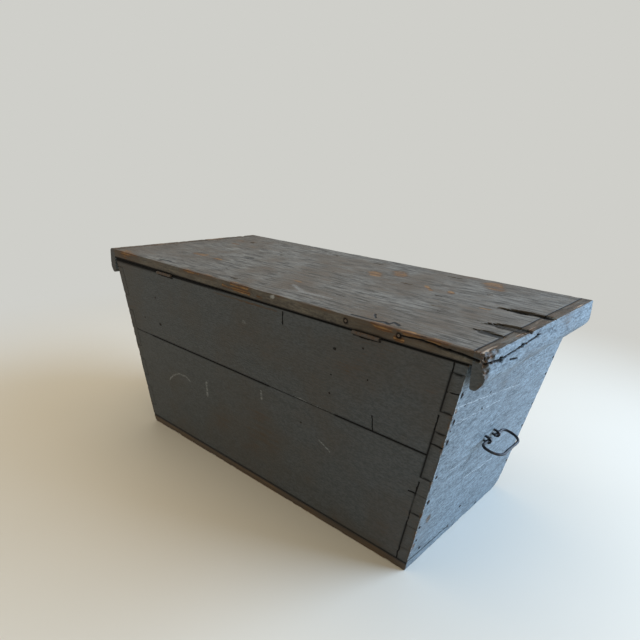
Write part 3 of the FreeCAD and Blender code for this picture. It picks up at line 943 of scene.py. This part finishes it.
def shoulder(z, inboard=0.0):
    """The line where the back meets the left end board, seen from behind."""
    return inboard - end_inner(z)


print("the shoulder of the back corner at the rim is at x", round(shoulder(rim.z), 1))

# %% Marks on the case
back_cracks_and_leaf_shadows = marks(
    on_back, (-310, 251, -309, 279, 1.8), (-106, 391, -107, 415, 2.2), (304, 289, 305, 289, 4.8),
    (-229, 377, -228, 377, 3.6), (shoulder(169.5, 13), 169.5, shoulder(169.5), 169.5, 2.4),
    (shoulder(369), 368, -end_outer(369), 370, 1.6), (shoulder(273), 274, 1 - end_outer(272), 272, 2.2),
    (shoulder(401), 401, shoulder(419), 419, 2.0), (shoulder(326), 326, shoulder(297), 297, 2.2),
    (shoulder(195), 195, shoulder(170), 170, 2.0), (shoulder(127), 127, shoulder(99), 99, 2.0),
    (shoulder(47), 47, shoulder(19), 19, 2.0))
# A dark line under each hinge leaf on the back is a painted shadow.
leaf_shadow = 413.2
for wall in ("left", "right"):
    low, high = (corner.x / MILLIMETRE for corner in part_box("hinge_case_leaf_" + wall))
    back_cracks_and_leaf_shadows += marks(on_back, (low, leaf_shadow, high, leaf_shadow, 2.0))
back_scrapes = marks(
    on_back, (294, 148, 275, 165, 2.6), (275, 165, 252, 177, 2.6), (252, 177, 226, 179, 2.6),
    (226, 179, 206, 171, 2.4), (145, 158, 145, 189, 4.8), (-36, 230, -37, 214, 4.0), (1, 368, 5, 368, 4.2),
    (-190, 182, -216, 168, 2.2), (-132, 252, -222, 250, 1.5))
back_spots = marks(on_back, (90, 411, -89, 412, 3.0))
back_marks = back_cracks_and_leaf_shadows, back_scrapes, back_spots

left_cracks = marks(
    on_left, (60, 150, 10, 146, 0.7), (-60, 352, -150, 345, 0.7), (204, 24, 124, 21, 2.2),
    (124, 21, 47, 17, 2.2),
    *((side_outer(z) - 9, z + 2, side_outer(z) - 10, z - 3, 4.6) for z in (158, 281, 319, 367)))
# Pale scrapes on the left end. The last row runs down the corner arris as a painted highlight, broken by the
# mottle.
left_scrapes_and_highlight = marks(
    on_left, (228, 347, 135, 334, 1.8), (135, 334, -52, 303, 1.5), (202, 311, 30, 297, 1.5),
    (60, 141, -68, 128, 1.7), (150, 200, 70, 192, 1.3),
    (side_outer(400) - 0.5, 400, side_outer(25) - 0.5, 25, 2.8))
left_spots = marks(
    on_left, (168, 109, 164, 103, 10.5), (188, 60, 191, 55, 5.6), (218, 339, 219, 343, 5.0))
left_marks = left_cracks, left_scrapes_and_highlight, left_spots
print("marks on the case", len(sum(back_marks + left_marks, [])))

# %% Marks on the lid
lid_cracks = marks(
    on_lid, (-256, 221, -306, 219, 3.6), (-306, 219, -316, 214, 5.0), (-316, 214, -325, 219, 5.0),
    (-325, 219, -328, 204, 3.6), (-328, 204, -341, 213, 4.4), (-279, 189, -293, 207, 2.8),
    (308, 211, 274, 206, 4.4), (228, 27, 200, 22, 3.4), (218, 36, 194, 31, 3.4), (230, -95, 224, -95, 4.0),
    (-474, 200, -474, 234, 2.2))
lid_scrapes = marks(on_lid, (-99, 174, -165, 170, 9.0), (-54, 147, -99, 172, 7.0), (44, 91, 43, 91, 4.0))
lid_spots = marks(
    on_lid, (326, 95, 300, 92, 17.0), (244, 100, 232, 100, 11.0), (396, -80, 380, -80, 9.0),
    (-78, -91, -92, -70, 24.0), (-106, -150, -129, -116, 24.0), (-221, -69, -249, -42, 6.0),
    (-279, -67, -286, -55, 11.0), (-304, -204, -328, -166, 30.0), (-376, 2, -390, 0, 7.0))
lid_marks = lid_cracks, lid_scrapes, lid_spots

edge_cracks = lid_cracks[:1] + marks(on_lid_edge, (-251, 432, -252, 432, 7.4), (-353, 433, -354, 433, 7.4))
edge_scrapes = marks(on_lid_edge, (-77, 436, -83, 437, 4.6))
edge_spots = marks(
    on_lid_edge, (-350, 429, -358, 427, 8.0), (60, 431, -18, 430, 6.0), (-40, 429, -52, 428, 5.0),
    (190, 440, 140, 439, 4.0))
edge_marks = edge_cracks, edge_scrapes, edge_spots

strip_cracks = [((-493, 236, 428), (-491, 232, 428), 5.0), ((-488, 233, 442), (-488, 231, 442), 5.0)]
strip_spots = marks(on_lid, (-486, 232, -486, 170, 6.0), (-488, 120, -487, 40, 4.0))
strip_marks = strip_cracks, lid_scrapes[:1], strip_spots
print("marks on the lid", len(sum(lid_marks + edge_marks + strip_marks, [])))

# %% Mix the paints
# The trunk has one slate paint. The back's slate is that paint made darker as painted shade, and the pale
# slate of the ends and the strips' outer faces is the same paint made lighter and bluer as painted light and
# sheen.
slate = ("#353a3d", "#4a4e52")
edge_slate = ("#35322e", "#625d54")
lit_pale_slate = ("#3d464d", "#85929a")
lid_slate = ("#1f1e1d", "#737370")
honey_pine = ("#5a432c", "#8a6a44")
pale_pine = ("#8d7864", "#c4ad98")
weathered_pine = ("#5b5048", "#a09384")
shaded_painted_back = painted_pine("back", "X", slate, honey_pine, back_marks, grain=0.25, fineness=200.0,
                            dirt=0.32, thinness=-0.4, seams=1.0, chalky=0.24)
lit_painted_end = painted_pine("end", "Y", lit_pale_slate, pale_pine, left_marks, grain=0.45, fineness=240.0,
                           dirt=0.1, thinness=-0.5, seams=0.0, chalky=0.6)
painted_lid = painted_pine("lid", "X", lid_slate, honey_pine, lid_marks, grain=1.35, fineness=170.0,
                           dirt=0.4, thinness=0.02, seams=1.0, chalky=0.22, shine=0.5)
painted_lid_edge = painted_pine("lid_edge", "X", edge_slate, honey_pine, edge_marks, grain=0.6,
                                fineness=170.0, dirt=0.45, thinness=0.04, seams=1.0, chalky=0.5)
lit_painted_strip = painted_pine("strip", "Y", lit_pale_slate, weathered_pine, strip_marks, grain=0.5,
                             fineness=260.0, dirt=0.1, thinness=-0.15, seams=1.0, chalky=0.4)
painted_strip_top = painted_pine("strip_top", "Y", lid_slate, weathered_pine, strip_marks, grain=1.2,
                                 fineness=160.0, dirt=0.5, thinness=0.12, seams=1.0, chalky=0.4)

# %% [markdown]
# ## Bare pine
# Inside, nobody painted. Unfinished pine darkens to honey brown, with clear growth rings, and it is greyer
# in patches that dust and hands reach. The same ring pattern as under the paint is used, so the wood matches
# where both are seen.

# %% Bare pine


def bare_pine(name, along, light, dark, grime):
    """Unpainted pine, aged. grime from 0 to 1 greys and darkens it."""
    material, tree, shader, place = new_material(name)
    streaky = wood_space(tree, place, along, 0.06)
    rings = growth_rings(tree, streaky, along)
    fibres = add(tree, "TexNoise", Vector=streaky, Scale=700.0, Detail=3.0, Roughness=0.6)
    streaks = add(tree, "TexNoise", Vector=streaky, Scale=120.0, Detail=5.0, Roughness=0.6)
    patches = add(tree, "TexNoise", Vector=place, Scale=11.0, Detail=5.0, Roughness=0.6)
    late = add(tree, "MapRange", "SMOOTHSTEP", rings, 0.45, 0.95)
    early = add(tree, "Mix", "RGBA", streaks, linear(dark), linear(light))
    wood = add(tree, "Mix", "RGBA", add(tree, "Math", "MULTIPLY", late, 0.55), early, linear(dark))
    dust = add(tree, "MapRange", "", patches, 0.42, 0.58, To_Max=grime)
    wood = add(tree, "Mix", "RGBA", dust, wood, linear("#3b3229"))
    joint = add(tree, "Attribute", "joint").outputs["Fac"]
    wood = add(tree, "Mix", "RGBA", joint, wood, linear("#120e0b"))
    rough = add(tree, "MapRange", "", streaks, 0.3, 0.7, 0.62, 0.8)
    height = add(tree, "Math", "MULTIPLY_ADD", late, 0.6, fibres)
    bump = add(tree, "Bump", Height=height, Strength=0.6, Distance=0.4 * MILLIMETRE)
    fill(tree, shader, Base_Color=wood, Roughness=rough, Normal=bump)
    return material


inside_long = bare_pine("bare_pine_long", "X", "#bd9868", "#8a633a", 0.3)
inside_end = bare_pine("bare_pine_end", "Y", "#bd9868", "#8a633a", 0.3)
grubby_foot = bare_pine("bare_pine_foot", "X", "#67523a", "#30261b", 0.75)

# %% [markdown]
# ## Iron
# Hinges, staples and nails are plain wrought iron, and the bail was forged from round bar. It all rusted
# under the paint and then wore smooth: brown-black, with orange where the rust is fresh. Old iron like
# that isn't shiny metal, so half of it is a rough brown skin, and the metal only shows through on top.

# %% Rusty iron


def rusty_iron(name, dark, rust, rusted, polish):
    """Old iron. rusted says how much of it is orange, and polish how smooth the handled parts are."""
    material, tree, shader, place = new_material(name)
    pits = add(tree, "TexNoise", Vector=place, Scale=900.0, Detail=4.0, Roughness=0.7)
    scale = add(tree, "TexNoise", Vector=place, Scale=170.0, Detail=5.0, Roughness=0.65)
    skin = add(tree, "MapRange", "SMOOTHSTEP", scale, 0.62 - 0.3 * rusted, 0.74 - 0.3 * rusted)
    rust_tone = add(tree, "Mix", "RGBA", pits, linear("#2e1c12"), linear(rust))
    colour = add(tree, "Mix", "RGBA", skin, linear(dark), rust_tone)
    metal = add(tree, "MapRange", "", skin, To_Min=0.75, To_Max=0.05)
    rough = add(tree, "MapRange", "", skin, To_Min=0.62 - 0.25 * polish, To_Max=0.82)
    height = add(tree, "Math", "MULTIPLY_ADD", scale, 1.5, pits)
    bump = add(tree, "Bump", Height=height, Strength=0.5, Distance=0.3 * MILLIMETRE)
    fill(tree, shader, Base_Color=colour, Metallic=metal, Roughness=rough, Normal=bump)
    return material


hinge_iron = rusty_iron("rusty_hinge_iron", "#4a4540", "#58493b", 0.6, 0.2)
handle_iron = rusty_iron("forged_handle_iron", "#2f2f31", "#4a3022", 0.25, 0.8)
nail_iron = rusty_iron("rusty_nail_iron", "#0f0e0d", "#2c1c14", 0.6, 0.0)
rubbed_nail_iron = rusty_iron("rubbed_nail_iron", "#5a5249", "#6a5443", 0.6, 0.0)

# %% [markdown]
# ## Nails
# A cut nail has a squarish hammered head. Many of the same thing at given places is what Geometry Nodes are
# for: one small head is made once and set on every point, turned a little at random, with a fixed seed so
# that the trunk is the same each time. The tree ends in real mesh, because instances aren't exported.

# %% The nail tree


def nail_tree():
    """Sets a hammered nail head on each point, facing the way that its attribute 'out' says."""
    tree = bpy.data.node_groups.new("hammered_nails", "GeometryNodeTree")
    group_sockets(tree, "INPUT", Places="Geometry", Head_width=0.0056, Head_height=0.001, Iron="Material")
    group_sockets(tree, "OUTPUT", Nails="Geometry")
    given = add(tree, "NodeGroupInput").outputs
    half = add(tree, "Math", "MULTIPLY", given["Head width"], 0.7)
    crown = add(tree, "Math", "MULTIPLY", given["Head width"], 0.42)
    head = add(tree, "GeometryNodeMeshCone", Vertices=4, Side_Segments=2, Radius_Top=crown,
               Radius_Bottom=half, Depth=given["Head height"])
    smooth = add(tree, "GeometryNodeSubdivisionSurface", Mesh=head.outputs["Mesh"], Level=2)
    out = add(tree, "GeometryNodeInputNamedAttribute", {"data_type": "FLOAT_VECTOR"}, Name="out")
    facing = add(tree, "FunctionNodeAlignRotationToVector", {"axis": "Z"}, Vector=out)
    turn = add(tree, "FunctionNodeRandomValue", {"data_type": "FLOAT"}, -0.35, 0.35, Seed=7)
    spin = add(tree, "FunctionNodeAxisAngleToRotation", Axis=(0, 0, 1), Angle=turn)
    turned = add(tree, "FunctionNodeRotateRotation", {"rotation_space": "LOCAL"}, Rotation=facing,
                 Rotate_By=spin)
    size = add(tree, "FunctionNodeRandomValue", {"data_type": "FLOAT"}, 0.85, 1.2, Seed=3)
    nails = add(tree, "GeometryNodeInstanceOnPoints", Points=given["Places"], Instance=smooth,
                Rotation=turned, Scale=size)
    real = add(tree, "GeometryNodeRealizeInstances", Geometry=nails)
    real = add(tree, "GeometryNodeSetShadeSmooth", Geometry=real)
    painted = add(tree, "GeometryNodeSetMaterial", Geometry=real, Material=given["Iron"])
    add(tree, "NodeGroupOutput", Nails=painted)
    return tree


hammered_nails = nail_tree()

# %% Grow a mesh from a tree


def grow(name, source, tree, **values):
    """Runs a geometry tree on a mesh and keeps the result as a plain mesh object."""
    holder = stand(name, source)
    modifier = holder.modifiers.new(name, "NODES")
    modifier.node_group = tree
    for item in tree.interface.items_tree:
        key = item.name.replace(" ", "_")
        if item.in_out == "INPUT" and key in values:
            modifier[item.identifier] = values[key]
    ready = holder.evaluated_get(bpy.context.evaluated_depsgraph_get())
    mesh = bpy.data.meshes.new_from_object(ready)
    holder.modifiers.clear()
    holder.data = mesh
    print(name, len(mesh.vertices), "points")
    return holder


def nails(name, rows, width, height, iron=nail_iron):
    """Nail heads. Each row is some places in millimetres and the way out that they share."""
    places, ways = zip(*((place, way) for some, way in rows for place in some))
    mesh = bpy.data.meshes.new(name + "_places")
    mesh.from_pydata([Vector(place) * MILLIMETRE for place in places], [], [])
    out = mesh.attributes.new("out", "FLOAT_VECTOR", "POINT")
    out.data.foreach_set("vector", np.float32(ways).ravel())
    return grow(name, mesh, hammered_nails, Head_width=width * MILLIMETRE, Head_height=height * MILLIMETRE,
                Iron=iron)

# %% Drive the nails
corner_nail_shares = [0.130, 0.350, 0.481, 0.655, 0.749, 0.868]
corner_nail_edge = 10.5
nail_pieces = {}
for side, wall in ends.items():
    out = Vector(end_way(side))
    heights = [ledge.z + share * (rim.z - ledge.z) for share in corner_nail_shares]
    places = [Vector((side * end_outer(z), edge * (side_outer(z) - corner_nail_edge), z)) - out * 0.3
              for edge in (-1, 1) for z in heights]
    name = wall + "_corner_nails"
    nail_pieces[name] = nails(name + "_forged", [(places, out)], width=7.2, height=1.1)

strip_nail_shares = [-0.94, -0.52, -0.06, 0.41, 0.93]
strip_nail_drop = 15
for side, wall in ends.items():
    places = [(side * (strip_high.x - 1.3), lid_middle + share * lid_half, lid_high.z - strip_nail_drop)
              for share in strip_nail_shares]
    name = "lid_nails_" + wall
    nail_pieces[name] = nails(name + "_forged", [(places, (side, 0, 0))], width=5.8, height=1.1)

bottom_side_shares = [-0.88, -0.46, 0.03, 0.47, 0.87]
bottom_end_shares = [-0.58, 0.02, 0.60]
bottom_nail_height = 0.75
foot = (end_outer(0), side_outer(0))
line_in = (end_outer(32) - end_wall / 2, side_outer(32) - side_wall / 2)
places = [(share * foot[0], side * line_in[1], bottom_nail_height)
          for side in (-1, 1) for share in bottom_side_shares]
places += [(side * line_in[0], share * foot[1], bottom_nail_height)
           for side in (-1, 1) for share in bottom_end_shares]
nail_pieces["bottom_nails"] = nails("bottom_nails_forged", [(places, (0, 0, -1))], width=5.6, height=0.6)

# %% [markdown]
# ## Small nails and nail holes in the faces
# The back and the left end carry scattered small dark heads, left from fixings that are long gone. They are
# seen in the photograph as dots of 2 to 4 mm. The front and the right end get a few of their own, so that
# they don't look new beside the others.

# %% Scattered nails
back_dots = [(314, 352), (370, 291), (304, 289), (-229, 377), (-288, 394), (-220, 326), (-298, 341),
             (-216, 289), (-145, 202)]
front_dots = [(-260, 340), (120, 372), (335, 300), (-40, 130), (402, 210)]
left_dots = [(189, 340), (108, 307), (95, 334), (211, 303)]
right_dots = [(-150, 320), (120, 355), (60, 190), (-90, 120), (140, 90)]
foot_dots = [(-77, 9), (47, 18), (158, 35), (18, 52), (193, 103)]
edge_dots = [(-251, 432), (-353, 433)]
scattered_nails = nails("scattered_nails", [
    ([(x, side_outer(z) - 0.2, z) for x, z in back_dots], side_way(1)),
    ([(x, 0.2 - side_outer(z), z) for x, z in front_dots], side_way(-1)),
    ([(0.2 - end_outer(z), y, z) for y, z in left_dots], end_way(-1)),
    ([(end_outer(z) - 0.2, y, z) for y, z in right_dots], end_way(1)),
], width=4.4, height=0.8)
foot_places = [(0.2 - end_outer(z), y, z) for y, z in foot_dots]
foot_nails = nails("foot_nails", [(foot_places, end_way(-1))], width=6.6, height=1.0)
edge_places = [(x, lid_high.y - 0.6, z) for x, z in edge_dots]
lid_edge_nails = nails("lid_edge_nails", [(edge_places, (0, 1, 0))], width=5.6, height=0.9,
                       iron=rubbed_nail_iron)

# %% [markdown]
# ## The bail handles
# Each end has a bail: a round bar, bent flat into a wide loop, whose turned-in ends lie in two staples. It
# follows a path, so Geometry Nodes draw a circle along a curve. The bar was hammered out by hand, and its
# thickness and line wander a little. The path is in the plane of the bail, which hangs 12 degrees down.

# %% The bar tree


def bar_tree():
    """Draws a round bar of uneven thickness along the edges of a mesh."""
    tree = bpy.data.node_groups.new("hammered_bar", "GeometryNodeTree")
    group_sockets(tree, "INPUT", Path="Geometry", Bar_radius=0.00275, Unevenness=0.07, Iron="Material")
    group_sockets(tree, "OUTPUT", Bar="Geometry")
    given = add(tree, "NodeGroupInput").outputs
    path = add(tree, "GeometryNodeMeshToCurve", Mesh=given["Path"])
    lump = add(tree, "TexNoise", Scale=110.0, Detail=2.0)
    off = add(tree, "MapRange", "", lump, 0.3, 0.7, -2.0, 0.0)
    swell = add(tree, "Math", "MULTIPLY_ADD", off, given["Unevenness"], 1.0)
    radius = add(tree, "Math", "MULTIPLY", swell, given["Bar radius"])
    ring = add(tree, "GeometryNodeCurvePrimitiveCircle", {"mode": "RADIUS"}, Resolution=20, Radius=1.0)
    bar = add(tree, "GeometryNodeCurveToMesh", Curve=path, Profile_Curve=ring, Scale=radius, Fill_Caps=True)
    bar = add(tree, "GeometryNodeSetShadeSmooth", Geometry=bar)
    bar = add(tree, "GeometryNodeRealizeInstances", Geometry=bar)
    painted = add(tree, "GeometryNodeSetMaterial", Geometry=bar, Material=given["Iron"])
    add(tree, "NodeGroupOutput", Bar=painted)
    return tree


hammered_bar = bar_tree()

# %% Bend the bails
handle_height, handle_offset, handle_standoff = 218.0, 15.0, 8.0
bar_radius = 2.75
handle_droop = math.radians(12.0)
bail_corners = [(-8, 0, 0), (-48, 0, 12), (-48, 36, 22), (48, 36, 22), (48, 0, 12), (8, 0, 0)]


def bent_path(corners, step=1.5):
    """Points along straight runs joined by round bends, from (across, outwards, bend radius)."""
    places = [Vector(corner[:2]) for corner in corners]
    path = [places[0]]
    for before, place, after, corner in zip(places, places[1:], places[2:], corners[1:]):
        back, on = (before - place).normalized(), (after - place).normalized()
        half = back.angle(on) / 2
        run = corner[2] / math.tan(half)
        centre = place + (back + on).normalized() * corner[2] / math.sin(half)
        arm = place + back * run - centre
        sweep = (math.pi - 2 * half) * (1 if back.cross(on) < 0 else -1)
        turns = max(6, round(abs(corner[2] * sweep) / step))
        for k in range(turns + 1):
            path.append(centre + Matrix.Rotation(sweep * k / turns, 2) @ arm)
    path.append(places[-1])
    filled = [path[0]]
    for place in path[1:]:
        gap = place - filled[-1]
        count = max(1, round(gap.length / (2 * step)))
        filled += [filled[-1] + gap * (k / count) for k in range(1, count + 1)]
    return filled


def bail(side, wall):
    """One bail in place, with a slightly wandering line."""
    pivot = Vector((side * end_outer(handle_height), handle_offset, handle_height))
    pivot += Vector(end_way(side)) * handle_standoff
    way = Vector((side * math.cos(handle_droop), 0, -math.sin(handle_droop)))
    up = way.cross(Vector((0, 1, 0)))
    path = []
    for u, v in bent_path(bail_corners):
        free = min(1.0, v / 12.0)
        lift = free * 1.1 * noise.noise((u / 30, v / 20, side))
        dent = -free * 0.8 * abs(noise.noise((u / 25, 3, side)))
        path.append(pivot + Vector((0, u, 0)) + way * v + (up * lift + way * dent))
    mesh = bpy.data.meshes.new(wall + "_bail_path")
    mesh.from_pydata([p * MILLIMETRE for p in path], [(k, k + 1) for k in range(len(path) - 1)], [])
    return grow(wall + "_handle_bail_forged", mesh, hammered_bar, Bar_radius=bar_radius * MILLIMETRE,
                Iron=handle_iron)


bails = {wall: bail(side, wall) for side, wall in ends.items()}

# %% [markdown]
# ## Everything rides on its body
# The model has four bodies that move: the case, the lid and the two bails. Each new piece stands for the
# CAD pieces it replaces and rides on the same body, so it moves with them. Hinges and staples keep their
# CAD shape, which is right as it is, and only get their iron.

# %% Hand over the pieces


def dress(made, body, slot, nodes, *materials):
    """Gives a piece its materials and its body, and hides the CAD nodes that it stands for."""
    if not made.data.materials:
        for material in materials:
            made.data.materials.append(material)
    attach(made, body)
    if nodes:
        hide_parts(*nodes)


for name, made in case_boards.items():
    inside = inside_long if name.startswith(("back", "front")) else inside_end
    dress(made, "case", "case_wood", [name], shaded_painted_back, lit_painted_end, inside)
for name, made in bottom_planks.items():
    dress(made, "case", "bare_wood", [name], grubby_foot, lit_painted_end, inside_long)
dress(lid, "lid", "lid_wood", ["lid_board"], painted_lid, inside_long, painted_lid_edge)
# The strips' end grain gets the darker back paint as painted shade.
for name, made in strips.items():
    dress(made, "lid", "lid_wood", [name], lit_painted_strip, inside_end, shaded_painted_back, painted_strip_top)
for name, made in nail_pieces.items():
    dress(made, "lid" if name.startswith("lid") else "case", "nail_iron", [name], nail_iron)
dress(scattered_nails, "case", "nail_iron", [], nail_iron)
dress(foot_nails, "case", "nail_iron", [], nail_iron)
dress(lid_edge_nails, "lid", "nail_iron", [], rubbed_nail_iron)
for wall, made in bails.items():
    dress(made, wall + "_bail", "handle_iron", [wall + "_handle_bail"], handle_iron)
for name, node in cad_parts.items():
    if not node.hide_render:
        node.data.materials.clear()
        node.data.materials.append(handle_iron if "staples" in name else hinge_iron)
        print("kept from the model:", name)

# %% [markdown]
# ## Floor, light and camera
# The trunk stands on a pale floor in a bright room. A big window to its left lights the left end, leaves
# the back in soft shade, and only grazes the lid. One large soft lamp does that. Two weak ones and the world
# fill the shade. The camera stands where the photographer did, behind the trunk and to its left, looking
# down.

# %% The room behind


def seen_directly(tree):
    """1 for rays from the camera, and from shiny or clear surfaces, and 0 for rays that carry light."""
    ray = add(tree, "LightPath")
    mirror = add(tree, "Math", "MAXIMUM", ray.outputs["Is Glossy Ray"], ray.outputs["Is Transmission Ray"])
    return add(tree, "Math", "MAXIMUM", ray.outputs["Is Camera Ray"], mirror)


world = bpy.data.worlds.new("bright_room")
bpy.context.scene.world = world
world.use_nodes = True
tree = world.node_tree
backdrop = linear("#cfcfca")
room = add(tree, "Mix", "RGBA", seen_directly(tree), linear("#c0b8a2"), backdrop)
fill(tree, tree.nodes["Background"], Color=room)

# %% Floor


def pale_floor():
    """A wide floor of plain warm grey, which fades into the background where the trunk's shadow is gone."""
    half = 14.0
    mesh = bpy.data.meshes.new("pale_floor")
    corners = [(-half, -half, 0), (half, -half, 0), (half, half, 0), (-half, half, 0)]
    mesh.from_pydata(corners, [], [(0, 1, 2, 3)])
    made = stand("pale_floor", mesh)
    material, tree, shader, place = new_material("smooth_pale_floor")
    cloud = add(tree, "TexNoise", Vector=place, Scale=1.2, Detail=3.0)
    colour = add(tree, "Mix", "RGBA", cloud, linear("#cfcac0"), linear("#d9d5cd"))
    fill(tree, shader, Base_Color=colour, Roughness=0.55)
    away = add(tree, "VectorMath", "LENGTH", place)
    fade = add(tree, "MapRange", "SMOOTHSTEP", away, 0.7, 1.8)
    share = add(tree, "Math", "MULTIPLY", fade, seen_directly(tree))
    glow = add(tree, "Emission", Color=backdrop, Strength=1.0)
    fill(tree, tree.nodes["Material Output"], Surface=add(tree, "MixShader", "", share, shader, glow))
    mesh.materials.append(material)


pale_floor()

# %% Lamps


def soft_lamp(name, place, target, size, power, colour):
    """A square lamp at a place, in metres, that faces a target."""
    lamp = bpy.data.lights.new(name, "AREA")
    lamp.shape = "SQUARE"
    lamp.size = size
    lamp.energy = power
    lamp.color = linear(colour)[:3]
    made = stand(name, lamp)
    made.location = place
    made.rotation_euler = (Vector(target) - Vector(place)).to_track_quat("-Z", "Y").to_euler()
    return made


soft_lamp("window_left", (-2.5, -1.9, 1.5), (0, 0, 0.25), 2.8, 245.0, "#bcdcff")
soft_lamp("ceiling_fill", (0.5, -0.2, 3.4), (0, 0, 0.2), 2.6, 32.0, "#ffecd6")
soft_lamp("wall_glow", (2.0, 2.8, 0.9), (0, 0, 0.1), 2.0, 17.5, "#fff2e4")

# %% Camera
picture_width = 640
focal_pixels = 546.35
sensor = 36.0
stands_at = (-0.7690, 0.9029, 0.6838)
looks_along = (0.6262, -0.7253, -0.2861)
roll = 0.0531
camera = bpy.data.cameras.new("camera")
camera.sensor_width = sensor
camera.lens = sensor * focal_pixels / picture_width
camera.shift_x = 0.0059
forward = Vector(looks_along).normalized()
level_right = forward.cross(Vector((0, 0, 1))).normalized()
level_up = level_right.cross(forward)
right = level_right * math.cos(roll) + level_up * math.sin(roll)
up = level_up * math.cos(roll) - level_right * math.sin(roll)
turn = Matrix((right, up, -forward)).transposed()
camera_object = stand("camera", camera)
camera_object.matrix_world = Matrix.Translation(stands_at) @ turn.to_4x4()
bpy.context.scene.camera = camera_object
bpy.context.scene.view_settings.view_transform = "Standard"
